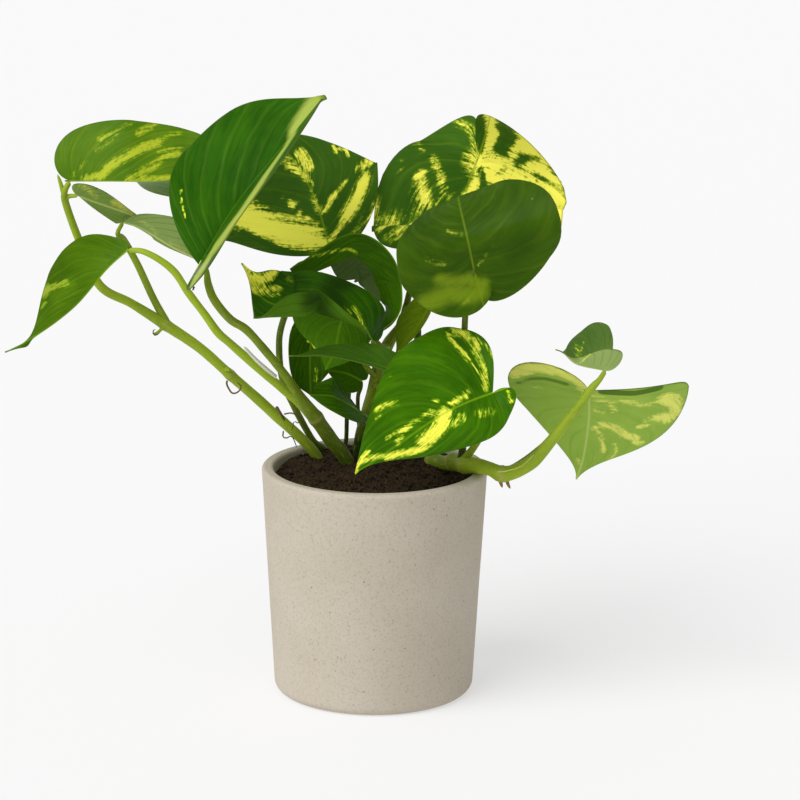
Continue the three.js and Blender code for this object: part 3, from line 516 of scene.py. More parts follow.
            (0.4, 2.7, (-0.38, 0.415), (-0.53, 0.35)), (0.5, 2.7, (-0.32, 0.54), (-0.27, 0.5)),
        ],
    },
    "leafRight": {
        "look": "pale",
        "midrib": [[122.9, 1.4, 177.7], [124.3, 20.6, 155.3], [122.4, 36, 128.6], [119.2, 45.8, 113]],
        "face": [[0.09, 0.6, 0.78]], "width": (47.6, 60.1), "widest": (0.133, 0.186), "lobe": (19.4, 2.2),
        "rise": (2.2, 0), "fold": [(1, -3)], "curl": [(18, 40)],
        "shape": {
            "lobeStart": (0.22, 0.23), "lobeOut": (1.14, 0.97), "lobeBack": (1.3, 1.51),
            "lobeSide": (1.15, 1.2), "sideUp": (0.2, 0.58), "tipIn": (0.03, 0.11), "tipUp": (0.76, 0.58),
        },
        "wave": 0.5,
        "strokes": [
            (1.2, 4.2, (-0.93, 0.41), (-0.9, 0.33), (-0.87, 0.225)),
            (1.1, 2.6, (-0.87, 0.225), (-0.8, 0.16), (-0.43, 0.065)),
            (-0.6, 2.2, (-0.87, 0.455), (-0.67, 0.315), (-0.45, 0.24)),
            (-1.2, 2.2, (0.57, 0.105), (0.67, 0.275), (0.9, 0.32)),
            (1, 4.4, (0.73, 0.49), (0.87, 0.545), (0.87, 0.585)), (0.9, 3.0, (0.63, 0.57), (0.8, 0.575)),
            (0.7, 3.0, (0.85, 0.515), (0.95, 0.57)), (0.7, 1.8, (0.37, 0.36), (0.5, 0.47), (0.78, 0.535)),
            (0.5, 1.5, (0.07, 0.315), (0.28, 0.365)),
            (0.85, 2.5, (0.13, 0.595), (0.28, 0.605), (0.47, 0.66), (0.67, 0.675)),
            (0.8, 1.6, (0.55, 0.605), (0.7, 0.595)), (0.55, 1.9, (-0.25, 0.2), (0.17, 0.21), (0.25, 0.485)),
            (0.5, 1.6, (0.47, 0.73), (0.87, 0.84)), (0.8, 1.5, (0.07, 0.63), (0.2, 0.7), (0.42, 0.795)),
            (0.4, 2.2, (0.05, 0.4), (0.12, 0.505)), (0.8, 2.2, (0.7, 0.695), (0.82, 0.71)),
            (0.5, 1.5, (-0.38, 0.875), (-0.22, 0.895)), (0.4, 1.0, (-0.7, 0.435), (-0.58, 0.405)),
        ],
        # Painted light: two lighter patches.
        "paintedShadingAndTone": [(0.3, 8.1, (0.27, 0.18), (0.53, 0.4)), (0.3, 5.7, (-0.58, 0.235), (-0.8, 0.29))],
        "own": {
            "below": tone(150, 178, 74), "gold": tone(246, 240, 120), "lime": tone(186, 204, 88),
            "green": tone(70, 130, 20), "rib": 0.08,
        },
    },
    "leafSmall": {
        "look": "green",
        "midrib": [
            [131.2, -10.8, 192.8], [114.9, -9.9, 196.1], [106.7, -15.3, 203.9], [102.3, -15.9, 205.8],
        ],
        "face": [[0.05, 0.09, 0.99]], "width": (17.7, 33.7), "widest": (-0.006, 0.129), "lobe": (7.1, 2.3),
        "rise": (2.6, 0), "fold": [(50, 38), (59, 51), (69, 60)], "curl": [(3, 2)],
        "shape": {
            "lobeStart": (0.15, 0.33), "lobeOut": (1.07, 1.01), "lobeBack": (1.45, 1.45),
            "lobeSide": (1.2, 1.23), "sideUp": (0.14, 0.47), "tipIn": (-0.01, -0.12), "tipUp": (0.5, 0.67),
        },
        "wave": 0,
        "strokes": [(0.4, 2.2, (0.63, 0.705), (0.27, 0.68)), (0.7, 0.6, (0.58, 0.635), (-1.0, 0.725))],
        "own": {"below": tone(150, 172, 100), "green": tone(106, 136, 62), "deep": tone(78, 112, 44)},
    },
    "leafCurly": {
        "look": "dark",
        "midrib": [
            [-1.3, -27.7, 212.9], [-9.4, -35.4, 225.6], [-33.6, -41.3, 235.2], [-43.6, -48.9, 235.9],
            [-61.7, -50.8, 241.4], [-73.3, -52.2, 261.7],
        ],
        "face": [[0.16, -0.72, 0.67]], "width": (32.7, 24.1), "widest": (0.745, 0.409), "lobe": (0.7, 5),
        "rise": (0, 0), "fold": [(-3, 4)], "curl": [(353, 1), (313, -16), (286, -16), (100, -11), (-15, 2)],
        "shape": {
            "lobeStart": (-0.07, 0.24), "lobeOut": (0.21, 0.96), "lobeBack": (1.49, 1.52),
            "sideUp": (0.09, 0.69), "tipIn": (-0.06, 0.27), "tipUp": (0.63, 0.77),
        },
        "wave": 0.5,
        "strokes": [
            (1, 3.1, (-0.43, 0.985), (0.65, 0.91), (0.92, 0.74)),
            (0.7, 1.9, (0.17, 0.9), (0.57, 0.77), (0.57, 0.675)), (0.8, 2.2, (-0.23, 0.935), (0.52, 0.83)),
            (0.5, 1.6, (0.8, 0.59), (0.67, 0.54)), (0.5, 1.5, (0.35, 0.815), (0.43, 0.72)),
            (0.6, 1.6, (0.3, 0.425), (0.12, 0.37), (-0.05, 0.295)), (0.4, 1.3, (0.25, 0.465), (0.1, 0.44)),
        ],
        # Painted shade: darker patches where the leaf curls over itself.
        "paintedShadingAndTone": [
            (-0.7, 7.2, (-0.7, 0.485), (0.52, 0.505), (0.98, 0.455)), (-0.4, 5.6, (0.5, 0.66), (0.7, 0.53)),
        ],
        "own": {"below": tone(72, 106, 18), "green": tone(50, 96, 4), "deep": tone(26, 62, 1)},
    },
    "leafArch": {
        "look": "dark",
        "midrib": [
            [-0.9, -11.4, 211.1], [14.7, -8.2, 227.1], [9.8, -4.8, 256.2], [-13.5, 0.7, 268.6],
            [-48.4, -4.7, 248.7],
        ],
        "face": [[0.56, -0.49, 0.48], [-0.26, -0.34, 1.11]], "width": (14.6, 33), "widest": (0.386, 0.31),
        "lobe": (5.4, 0.5), "fold": [(-50, -83)], "curl": [(-9, -33)],
        "shape": {
            "lobeStart": (0.21, 0.05), "lobeOut": (0.82, 0.39), "lobeBack": (1.53, 1.48),
            "lobeSide": (1.22, 1.19), "sideUp": (-0.39, 0.92), "tipIn": (1.29, 0.31), "tipUp": (1.05, 0.57),
        },
        "wave": 0.5, "strokes": [(0.4, 1.2, (-0.13, 0.93), (-0.37, 0.875), (-0.55, 0.825), (-0.8, 0.78))],
        "own": {"below": tone(88, 104, 60), "veins": 22},
    },
    "leafBright": {
        "look": "green",
        "midrib": [[-14, -15, 234.8], [-19.5, -15.9, 219.8], [-22.9, -17.1, 204.5], [-28, -17.9, 193.5]],
        "face": [[0, -0.95, 0.3]], "width": (20, 29.5), "widest": (0.35, 0.292), "lobe": (2, 2),
        "curl": [(0, 2)], "shape": {"sideUp": (0.33, 0.22), "tipIn": (0.2, 0.12), "tipUp": (0.84, 0.87)},
        "wave": 0.5, "own": {"green": tone(78, 124, 8), "deep": tone(56, 98, 6)},
    },
    "leafNarrow": {
        "look": "pale",
        "midrib": [[17, -35, 195], [-2.5, -35, 201.5], [-23, -39.5, 206.5], [-47.5, -47.5, 208.5]],
        "face": [[-0.05, 0.12, 1.02]], "width": (13, 12), "widest": (0.387, 0.313), "lobe": (2.1, 2.1),
        "fold": [(10, 63)], "curl": [(-24, 0)],
        "shape": {"lobeOut": (0.96, 1), "sideUp": (0.28, 0.04), "tipUp": (0.75, 0.86)}, "wave": 0,
        "own": {"below": tone(84, 116, 38)},
    },
    "leafDark": {
        "look": "dark", "midrib": [[-27.9, 6.4, 216.3], [-36, 8, 206], [-37.5, 6, 191.4], [-37, 6, 172.8]],
        "face": [[0.08, -0.92, 0.38]], "width": (16, 14), "widest": (0.4, 0.365), "lobe": (4, 3.7),
        "fold": [(0, 12)], "curl": [(0, 21)],
        "shape": {
            "lobeStart": (0.2, 0.22), "lobeOut": (0.95, 1.15), "sideUp": (0.33, 0.49), "tipIn": (0.2, 0.37),
            "tipUp": (0.84, 0.9),
        },
        "wave": 0.5,
        "strokes": [(1.2, 0.8, (0.15, 0.52), (-0.17, 0.57)), (0.4, 1.5, (-0.43, 0.755), (-0.62, 0.845))],
    },
    "leafLower": {
        "look": "dark", "midrib": [[-6.3, -5.7, 164.7], [-22.7, -19.3, 178], [-36.5, -15.3, 178]],
        "face": [[0.04, -0.48, 0.88]], "width": (10.9, 15.5), "widest": (0.442, 0.453), "lobe": (2.1, 0.3),
        "fold": [(-13, -22)], "curl": [(-12, 64)],
        "shape": {
            "lobeStart": (0.18, -0.02), "lobeOut": (0.84, 0.7), "lobeBack": (1.5, 1.48),
            "sideUp": (0.25, 0.67), "tipIn": (0.26, 0.39), "tipUp": (0.89, 1.05),
        },
        "wave": 0,
    },
    "leafShade": {
        "look": "dark", "midrib": [[-8, 17, 179], [-17, 14, 184], [-28, 12, 186]], "face": [[0, -0.8, 0.6]],
        "width": (11, 14), "widest": (0.4, 0.4), "lobe": (1, 3), "wave": 0,
    },
    "leafOlive": {
        "look": "olive", "midrib": [[31, 2, 228], [27, 2, 220], [20, 0, 210], [12, -2, 200]],
        "face": [[0.2, -0.9, 0.2]], "width": (3, 12), "widest": (0.4, 0.4), "lobe": (4, 4), "wave": 0,
        "own": {"green": tone(104, 128, 14), "deep": tone(72, 96, 8)},
    },
}

# Stems with their leaf stalks. Each branch is a tapering tube through points of x, y, z and radius. It swells
# at its nodes, given by the number of the point. Its darkness says how dark it looks: partly a darker stem
# tone and partly painted shade, darkest on the stalks that lie in shade at the back. dry says how dried up it
# looks.
stems = {
    "stemLeft": {
        "darkAndShaded": 0.22,
        "branches": [
            {
                "nodes": (3, 5), "leaf": "leafUpperLeft", "front": True,
                "points": [
                    [-30, 31, 101, 3], [-33.5, 30, 129, 3.2], [-61.5, 29, 158, 3.1], [-84.5, 27, 179.5, 3],
                    [-102, 25, 196, 2.9], [-121.5, 23, 210, 3.2], [-140.5, 20, 223, 2.6],
                    [-158.5, 18, 234, 2.6], [-169.5, 17, 259.5, 2.3], [-176.5, 14, 281.5, 2.1],
                    [-177, 11, 289.5, 1.8],
                ],
            },
            {
                "leaf": "leafUnderside", "darkAndShaded": 0.4,
                "points": [
                    [-119, 23, 208, 2.4], [-128, 24, 224.5, 2.2], [-137, 22, 245.5, 2.1],
                    [-144.5, 19, 260.5, 2], [-147.5, 14, 265, 1.4],
                ],
            },
            {
                "leaf": "leafYoung", "front": True,
                "points": [[-177, 14, 283, 1.8], [-175.5, 12.5, 286.5, 1.4]],
            },
            {"points": [[-177, 12, 286, 1.6], [-179.5, 12, 295, 1.1], [-181, 12, 299.5, 0.5]]},
            {"points": [[-120.5, 21, 211, 1.2], [-125.5, 19, 206.5, 0.8], [-128.5, 19, 205.5, 0.6]]},
            {"points": [[-87, 25, 183, 1.4], [-85.5, 21, 184.5, 1.2], [-84.5, 19, 183.5, 1]]},
        ],
    },
    "stemMiddle": {
        "darkAndShaded": 0.3,
        "branches": [
            {
                "nodes": (3,), "leaf": "leafBig", "darkAndShaded": 0.5,
                "points": [
                    [-12, 19, 101, 4.2], [-15.5, 17, 129, 4.4], [-25, 11, 144.5, 4.4], [-34, 5, 159.5, 4.2],
                    [-43, -1, 173.5, 3.2], [-52, -8, 189, 2.5], [-62.5, -14, 204, 2.4],
                    [-72.5, -20, 217, 2.4], [-81.5, -24, 224, 2.4], [-90, -27, 235.5, 2.4],
                    [-93.5, -26, 244.5, 2.2], [-94.5, -24.5, 252, 1.4],
                ],
            },
            {
                "leaf": "leafLowerLeft", "front": True, "darkAndShaded": 0.12,
                "points": [
                    [-33, 7, 155, 2.6], [-43, 3, 168.5, 2.8], [-52.5, -1, 178, 2.6], [-68, -7, 193, 2.5],
                    [-82.5, -12, 207.5, 2.4], [-89, -14, 214, 2.4], [-96.5, -15, 225, 2.3],
                    [-105.5, -16, 237.5, 2.2], [-112.5, -16, 248.5, 2.1], [-120.5, -16, 255.5, 2],
                    [-130.5, -15, 260.5, 1.7],
                ],
            },
        ],
    },
    "stemBack": {
        # Painted shade: the stalks at the back, which lie in shade, are the darkest.
        "darkAndShaded": 0.75,
        "branches": [
            {
                "leaf": "leafBack", "darkAndShaded": 0.7,
                "points": [
                    [-30, 42, 106, 2.2], [-30, 42, 129, 2.2], [-37, 38, 138, 2.1], [-48, 32, 160.5, 2],
                    [-54, 28, 176.5, 2], [-56, 28, 194.5, 1.9], [-54.5, 31, 208.5, 1.9],
                    [-46.5, 38, 228, 1.8], [-35.5, 40, 246.5, 1.6],
                ],
            },
            {
                "leaf": "leafTopRight", "darkAndShaded": 1.0,
                "points": [
                    [18, 40, 106, 2.4], [18, 40, 129, 2.4], [25, 42, 161.5, 2.3], [24.5, 42, 200, 2.2],
                    [24.5, 43, 219, 2.1], [31.5, 48, 250, 2], [44, 52, 279, 1.9], [53, 50, 296, 1.6],
                ],
            },
            {"points": [[-30, 42, 109, 2.2], [-6, 46, 108, 2.2], [18, 40, 109, 2.2]]},
        ],
    },
    "stemCentre": {
        "darkAndShaded": 0.62,
        "branches": [
            {
                "points": [
                    [-6, 33, 101, 4.4], [-8.5, 33, 129, 4.6], [-7.5, 27, 142.5, 4.5], [-4, 18, 160, 4.2],
                    [0, 8, 178.5, 4], [3, 3, 193, 3.8], [8, 6.5, 204.5, 3.4], [15, 10, 214.5, 2.6],
                    [18, 10, 227, 2],
                ],
            },
            {
                "leaf": "leafArch", "front": True, "darkAndShaded": 0.5,
                "points": [[6.5, 4, 202, 2.4], [4.5, -7, 204, 1.5]],
            },
            {
                "leaf": "leafCurly", "darkAndShaded": 0.5,
                "points": [[3, 1, 192, 2.4], [1.5, -11, 198, 2.2], [0.5, -19, 205.5, 1.7]],
            },
            {
                "leaf": "leafBright", "darkAndShaded": 0.6,
                "points": [
                    [1, 4, 184, 1.9], [-5, -6, 193, 1.6], [-9, -12, 206, 1.4], [-11.5, -13, 220.5, 1.3],
                    [-12.5, -12, 228.5, 1.2],
                ],
            },
            {
                "leaf": "leafNarrow", "darkAndShaded": 0.5,
                "points": [[1, 4, 179.5, 2], [8.5, -8, 178.5, 1.9], [15.5, -20, 184, 1.6]],
            },
            {
                "leaf": "leafDark", "darkAndShaded": 0.9,
                "points": [
                    [-18, 33, 101, 1.5], [-19, 34, 129, 1.5], [-17, 30, 140, 1.3], [-16.5, 29, 155.5, 1.3],
                    [-15.5, 28, 170.5, 1.4], [-17, 26, 190.5, 1.4], [-21, 20, 202.5, 1.3],
                ],
            },
            {"leaf": "leafLower", "darkAndShaded": 0.7, "points": [[-6.5, 22, 149.5, 1.6], [-3.5, 8, 157.5, 1.3]]},
            {
                "leaf": "leafShade", "darkAndShaded": 0.9,
                "points": [
                    [-9, 28, 145.5, 1.3], [-10, 25, 158.5, 1.2], [-10, 23, 168.5, 1.2],
                    [-8.5, 22, 173.5, 1.2],
                ],
            },
            {
                "leaf": "leafOlive", "darkAndShaded": 0.8,
                "points": [[17.5, 10, 224, 2], [20, 9, 235, 1.8], [23.5, 7, 241.5, 1.4]],
            },
            {"points": [[-6, 33, 108, 2.4], [-18, 33, 108, 1.6]]},
        ],
    },
    "stemRight": {
        "darkAndShaded": 0.3,
        "branches": [
            {
                "nodes": (2.2, 4.8, 6.6, 10.2), "leaf": "leafSmall", "darkAndShaded": 0.22,
                "points": [
                    [31, 29, 104, 3.6], [31, 27, 118, 4.2], [33.5, 21, 129.5, 4.9], [38, 14, 131, 4.4],
                    [42, 8, 132.5, 4.2], [46, 1, 135, 5], [49.5, -6, 135.5, 4.7], [53.5, -13, 137, 4.8],
                    [59, -20, 138.5, 4.4], [66, -25, 138, 4], [71.5, -27, 136, 4.4], [76, -27, 136, 4.4],
                    [83, -27, 138.5, 4], [91, -25, 143.5, 3.9], [98.5, -22, 151.5, 3.4],
                    [108, -18, 162.5, 2.9], [117, -15, 174, 2.5], [123.5, -12, 182.5, 2.2],
                    [128, -11, 187.5, 1.7],
                ],
            },
            {
                "leaf": "leafRight", "darkAndShaded": 0.4,
                "points": [
                    [73.5, -26, 135.5, 3], [83, -17, 139, 2], [97.5, -12, 149.5, 1.8],
                    [110.5, -7, 162.5, 1.7], [118.5, -4, 172, 1.5],
                ],
            },
            {
                "leaf": "leafRound", "darkAndShaded": 0.85,
                "points": [
                    [49.5, -6, 137, 2.6], [50.5, -8, 145.5, 2.2], [50, -12, 163.5, 2],
                    [50, -13, 187.5, 1.9], [50.5, -16, 212, 1.8], [51, -24, 230, 1.8],
                    [53, -33, 244.5, 1.6],
                ],
            },
            {
                "leaf": "leafFront", "darkAndShaded": 0.4,
                "points": [
                    [51, -9, 138.5, 2.4], [58, -20, 151.5, 2], [65.5, -30, 168, 1.9], [68.5, -36, 179, 1.6],
                ],
            },
            {"dry": 1.0, "points": [[71, -27, 133.5, 1.2], [72, -27, 130.5, 1], [73, -27, 127.5, 0.6]]},
            {"dry": 1.0, "points": [[75.5, -27, 132.5, 1.2], [76, -27, 130, 1], [77.5, -27, 127, 0.6]]},
        ],
    },
}


# What a blade looks like. green and deep mix over the upper side, lime and gold are the variegation, below
# is the underside, and veins is how many side veins show. The dark look is a darker copy of green, partly
# painted shade for leaves that lie in shade. A leaf's own entry may add light and dark, the tones that its
# shading patches mix in for painted light and painted shade (on leafBig, light is a paler tone of the leaf),
# and rib for how dark its veins are below.
looks = {
    "dark": {
        "green": tone(60, 102, 2), "deep": tone(34, 68, 1), "lime": tone(110, 150, 18),
        "gold": tone(226, 222, 70), "below": tone(120, 140, 66), "veins": 9, "gloss": 0.34,
    },
    "green": {
        "green": tone(66, 116, 4), "deep": tone(40, 82, 1), "lime": tone(122, 165, 20),
        "gold": tone(238, 236, 80), "below": tone(122, 146, 72), "veins": 9, "gloss": 0.32,
    },
    "variegated": {
        "green": tone(66, 106, 26), "deep": tone(50, 88, 18), "lime": tone(128, 158, 24),
        "gold": tone(255, 248, 96), "below": tone(104, 124, 84), "veins": 8, "gloss": 0.4,
    },
    "olive": {
        "green": tone(60, 86, 8), "deep": tone(40, 66, 4), "lime": tone(112, 132, 26),
        "gold": tone(170, 176, 60), "below": tone(126, 142, 66), "veins": 7, "gloss": 0.42,
    },
    "pale": {
        "green": tone(70, 110, 24), "deep": tone(50, 88, 16), "lime": tone(140, 166, 60),
        "gold": tone(210, 206, 84), "below": tone(124, 150, 72), "veins": 9, "gloss": 0.42,
    },
}


# glow is painted light: the leaves give off a little light in their own colour, as if light passed through
# them. The darkest tone here is painted shade, the tone that the shading patches darken towards.
leafSkin = {
    "veinSlant": 0.3, "streakAcross": 2.2, "streakAlong": 30, "streakScale": 1.0, "fineScale": 3.4,
    "cloudScale": 38.0, "dotScale": 520.0, "ribSharpness": 14, "ribBelow": 0.2, "margin": (0.978, 0.998),
    "broken": 0.12, "bumpHeight": 0.0009, "bumpStrength": 0.5, "specular": 0.045, "glow": 0.14,
    "ribTone": tone(176, 190, 110), "marginTone": tone(70, 84, 22), "paintedShadeTone": tone(20, 46, 1),
}


# Colour by layers: green and deep mixed by noise, pale side veins, lime and gold where the strokes' field is
# strong enough, the midrib, then the underside, the painted light and painted shade of the shading patches,
# and the margin. Noise along the veins breaks the gold's edges. The leaf also glows a little in its own
# colour, which is painted light.
def leafFinish(name, look, seed):
    kit, skin = Finish(name), leafSkin
    s, t = kit.attribute("side"), kit.attribute("row")
    across, gold, under = kit.attribute("across"), kit.attribute("gold"), kit.attribute("under")
    place = kit.place()
    reach = s.math("ABSOLUTE", s, 0.0)
    vein = t - reach * skin["veinSlant"]
    stretched = {0: s * skin["streakAcross"], 1: vein * skin["streakAlong"], 2: float(seed)}
    alongVeins = kit.node("ShaderNodeCombineXYZ", None, stretched)
    streaks = kit.noise(alongVeins, skin["streakScale"], 4.0, 0.6)
    fineStreaks = kit.noise(alongVeins, skin["fineScale"], 3.0, 0.6)
    clouds = kit.noise(place, skin["cloudScale"], 3.0)
    dots = kit.noise(place, skin["dotScale"], 2.0, 0.6)
    turn = (vein * look["veins"] + clouds * 0.5) * (2 * math.pi)
    ribs = (turn.math("COSINE", turn, 0.0) * 0.5 + 0.5) ** skin["ribSharpness"]
    ribs = ribs * kit.step(across, 0.5, 6.0)
    shade = clouds * 0.7 + streaks * 0.6 + fineStreaks * 0.35 - 0.32
    upper = kit.mix(kit.step(shade, 0.25, 0.85), look["deep"], look["green"])
    upper = kit.mix(ribs * 0.1, upper, look["lime"])
    broken = (streaks - 0.5) * 2.2 + (fineStreaks - 0.5) * 1.6 + (dots - 0.5) * 1.2
    field = gold + broken * kit.step(gold, 0.02, 0.4)
    limeShare = kit.step(field, 0.12, 0.6)
    goldShare = kit.step(field, 0.38, 1.05)
    upper = kit.mix(limeShare * 0.8, upper, look["lime"])
    upper = kit.mix(goldShare, upper, look["gold"])
    rib = 1 - kit.step(across, 0.3, 0.9)
    upper = kit.mix(rib * (0.75 - t * 0.5), upper, look["lime"])
    lower = kit.mix(shade * 0.5, look["below"], look["green"])
    lower = kit.mix(limeShare * 0.3 + goldShare * 0.3, lower, look["gold"])
    lower = kit.mix(ribs * look.get("rib", skin["ribBelow"]), lower, look["deep"])
    lower = kit.mix(rib * 0.7, lower, skin["ribTone"])
    colour = kit.mix(under, upper, lower)
    # Painted light and painted shade: the shading patches mix towards the light tone where positive and
    # towards the dark tone where negative, for parts of a leaf that are lit or lie in shade (on leafBig, a
    # paler band of the leaf).
    shadingAndToneLayer = kit.attribute("shadingAndToneLayer")
    uneven = broken * skin["broken"]
    colour = kit.mix(kit.step(shadingAndToneLayer + uneven, 0.05, 0.95), colour, look.get("light", look["lime"]))
    colour = kit.mix(kit.step(shadingAndToneLayer * -1 + uneven, 0.05, 0.95), colour, look.get("dark", skin["paintedShadeTone"]))
    colour = kit.mix(kit.step(gold * -1, 0.3, 0.9) * 0.8, colour, look["deep"])
    margin = kit.step(reach, *skin["margin"])
    colour = kit.mix(margin * 0.55, colour, skin["marginTone"])
    height = streaks * 0.25 + dots * 0.12 - ribs * 0.55
    normal = kit.bump(height, skin["bumpHeight"], skin["bumpStrength"])
    roughness = under * 0.22 + dots * 0.1 + (look["gloss"] - 0.05)
    # The emission in the leaf's own colour is painted light, as if light passed through the leaf.
    return kit.wear(
        Base_Color=colour, Roughness=roughness, Normal=normal, Specular_IOR_Level=skin["specular"],
        Emission_Color=colour, Emission_Strength=skin["glow"],
    )


stroke = {"steps": 12, "inner": 0.1, "outer": 1.9, "harden": 1.3}


# Variegation, and the patches of painted light and painted shade: each stroke is (strength, half width,
# places as (reach, row)). Its field is the strength inside the width, falling smoothly to 0 across its edge,
# by the distance in space to the line through its places. Negative strokes take the field down again, harden
# times as strongly.
def strokeField(leaf, places, strokes, harden=stroke["harden"]):
    field, clear = np.zeros(places.shape[:2]), np.zeros(places.shape[:2])
    path = Path(leaf["midrib"])
    for strength, width, *marks in strokes:
        k = np.linspace(0, len(marks) - 1, stroke["steps"] * len(marks))
        reach, row = [np.interp(k, np.arange(len(marks)), values)[:, None] for values in zip(*marks)]
        left, right = [halfBlade(leaf, half, path, row, abs(reach))[0] for half in (0, 1)]
        line = np.where(reach[..., None] < 0, left, right)[:, 0]
        gap = np.linalg.norm(places[:, :, None] - line, axis=-1).min(-1)
        share = 1 - smooth(gap, width * stroke["inner"], width * stroke["outer"])
        if strength > 0:
            field = np.maximum(field, strength * share)
        else:
            clear = np.maximum(clear, -strength * share)
    return field - clear * harden


# A blade as a closed sheet: its upper face, its lower face and the rim that joins them.
def makeLeaf(name, leaf, seed):
    places, outward, s, t, across = bladeGrid(leaf)
    rows, columns = s.shape
    half = blade["thickness"] / 2
    points = np.concatenate([(places + away).reshape(-1, 3) for away in (outward * half, -outward * half)])
    count = rows * columns
    ring = np.concatenate([
        np.arange(columns - 1), np.arange(1, rows) * columns - 1,
        np.arange(count - 1, count - columns, -1), np.arange(rows - 1, 0, -1) * columns,
    ])
    after = np.roll(ring, -1)
    rim = np.stack([ring, ring + count, after + count, after], -1)
    faces = np.concatenate([gridFaces(rows, columns), gridFaces(rows, columns, count, flip=True), rim])
    both = lambda values: np.tile(values.ravel(), 2)
    layers = {
        "side": both(s), "row": both(t), "across": both(abs(across)),
        "gold": both(strokeField(leaf, places, leaf.get("strokes", []))),
        # painted light and painted shade from the leaf's shading patches
        "shadingAndToneLayer": both(strokeField(leaf, places, leaf.get("paintedShadingAndTone", []), 1)),
        "under": np.repeat([0.0, 1.0], count),
    }
    look = dict(looks[leaf["look"]], **leaf.get("own", {}))
    finish = leafFinish(name + "Finish", look, seed)
    pieceName = name.replace("leaf", "blade")
    return makePiece(pieceName, points, faces, finish, replaces=name, layers=layers)


for seed, (name, leaf) in enumerate(leaves.items()):
    makeLeaf(name, leaf, seed)
print("leaf blades:", len(leaves))


tube = {
    "sides": 14, "step": 1.6, "tipRound": 1.0, "uneven": 0.035, "bulge": 0.13, "bulgeLength": 2.2,
    "scarLength": 0.9,
}


# A closed tube along a path of points with radii: ring = place + radius * (cos(a) * side + sin(a) * up),
# with side = along x y-axis, which stays clear of the stems' own direction. It swells at its nodes, where
# there is a scar, and its tip is rounded.
def tubePoints(points, bulges=()):
    path = Path(points, 32)
    rings = max(6, int(path.length / tube["step"]))
    share = np.linspace(0, 1, rings)
    found = path.at(share)
    along = path.along(share)
    side = unit(np.cross(along, [0.0, 1.0, 0.15]))
    up = np.cross(side, along)
    run = share * path.length
    radius = found[:, 3] * (1 + tube["uneven"] * ripple(found[:, :3], 14, 3))
    scars = np.zeros(rings)
    for knot in bulges:
        where = np.interp(knot, path.knots, path.run)
        bulge = np.exp(-(((run - where) / tube["bulgeLength"]) ** 2))
        radius = radius * (1 + tube["bulge"] * bulge)
        scars += np.exp(-(((run - where) / tube["scarLength"]) ** 2))
    left = np.clip((path.length - run) / (found[-1, 3] * tube["tipRound"]), 0, 1)
    radius = radius * np.sqrt(np.clip(1 - (1 - left) ** 2, 0.02, 1))
    angle = np.linspace(0, 2 * np.pi, tube["sides"], endpoint=False)
    spokes = np.cos(angle)[None, :, None] * side[:, None] + np.sin(angle)[None, :, None] * up[:, None]
    skin = found[:, None, :3] + radius[:, None, None] * spokes
    points = np.concatenate([skin.reshape(-1, 3), found[:1, :3], found[-1:, :3]])
    count = rings * tube["sides"]
    first = np.arange(tube["sides"])
    after = np.roll(first, -1)
    faces = gridFaces(rings, tube["sides"], wrap=True).tolist()
    faces += np.stack([after, first, first * 0 + count], -1).tolist()
    last = count - tube["sides"]
    faces += np.stack([last + first, last + after, first * 0 + count + 1], -1).tolist()
    spread = lambda values: np.concatenate([np.repeat(values, tube["sides"]), values[:1], values[-1:]])
    around = np.concatenate([np.tile(angle, rings), [0.0, 0.0]])
    return points, faces, {"run": spread(run), "scar": spread(scars), "around": around}


# The colour runs from young towards the dark tone by the stem's darkness, which is partly a darker stem tone
# and partly painted shade. The emission in the stem's own colour is painted light.
def stemFinish(name, young, darkAndShadedTone, blush):
    kit = Finish(name)
    run, around, scar = kit.attribute("run"), kit.attribute("around"), kit.attribute("scar")
    darkAndShaded, dry, place = kit.attribute("darkAndShaded"), kit.attribute("dry"), kit.place()
    fibres = kit.node("ShaderNodeCombineXYZ", None, {0: around * 2.2, 1: run * 0.05, 2: 0.0})
    lines = kit.noise(fibres, 2.5, 3.0)
    clouds = kit.noise(place, 60.0, 3.0)
    colour = kit.mix(darkAndShaded + (clouds - 0.5) * 0.5, young, darkAndShadedTone)
    colour = kit.mix(kit.step(lines, 0.52, 0.75) * 0.3, colour, blush)
    colour = kit.mix(scar * 0.55, colour, tone(150, 140, 80))
    specks = kit.step(kit.noise(place, 900.0, 1.0), 0.68, 0.76)
    colour = kit.mix(specks * 0.25, colour, tone(190, 196, 120))
    colour = kit.mix(dry, colour, kit.mix(clouds, tone(150, 118, 62), tone(84, 60, 30)))
    height = lines * 0.5 + clouds * 0.4 - scar * 0.6
    normal = kit.bump(height, 0.0006, 0.5)
    return kit.wear(Base_Color=colour, Roughness=clouds * 0.15 + 0.42, Normal=normal, Specular_IOR_Level=0.2,
                    Emission_Color=colour, Emission_Strength=0.1)


# Several tubes as one mesh: their points and layers follow each other, and their faces count on.
def joinParts(parts):
    points, faces, layers, first = [], [], {}, 0
    for part, quads, own in parts:
        points.append(part)
        faces += [[first + corner for corner in face] for face in quads]
        for layer, values in own.items():
            layers.setdefault(layer, []).append(values)
        first += len(part)
    return np.concatenate(points), faces, {layer: np.concatenate(values) for layer, values in layers.items()}


# A leaf stalk ends against the blade's underside, or against its upper side where front is set. Its tip goes
# 0.3 of its radius past the blade's face, so that the two meet.
def stalkEnd(leaf, front, radius):
    path = Path(leaf["midrib"])
    base, forward = path.at(np.array(0.0)), path.along(np.array(0.0))
    up = np.array(leaf["face"][0], float)
    up = unit(up - (up @ forward) * forward)
    away = blade["thickness"] / 2 - 0.3 * radius
    return [*(base + up * (away if front else -away)), radius]


# Painted shade: stems darken between these heights near the soil, within these distances from the pot's
# axis, where shade falls inside the pot.
shadeNearSoil = {"height": (122, 178), "reach": (44, 58), "darkAndShaded": 0.5}

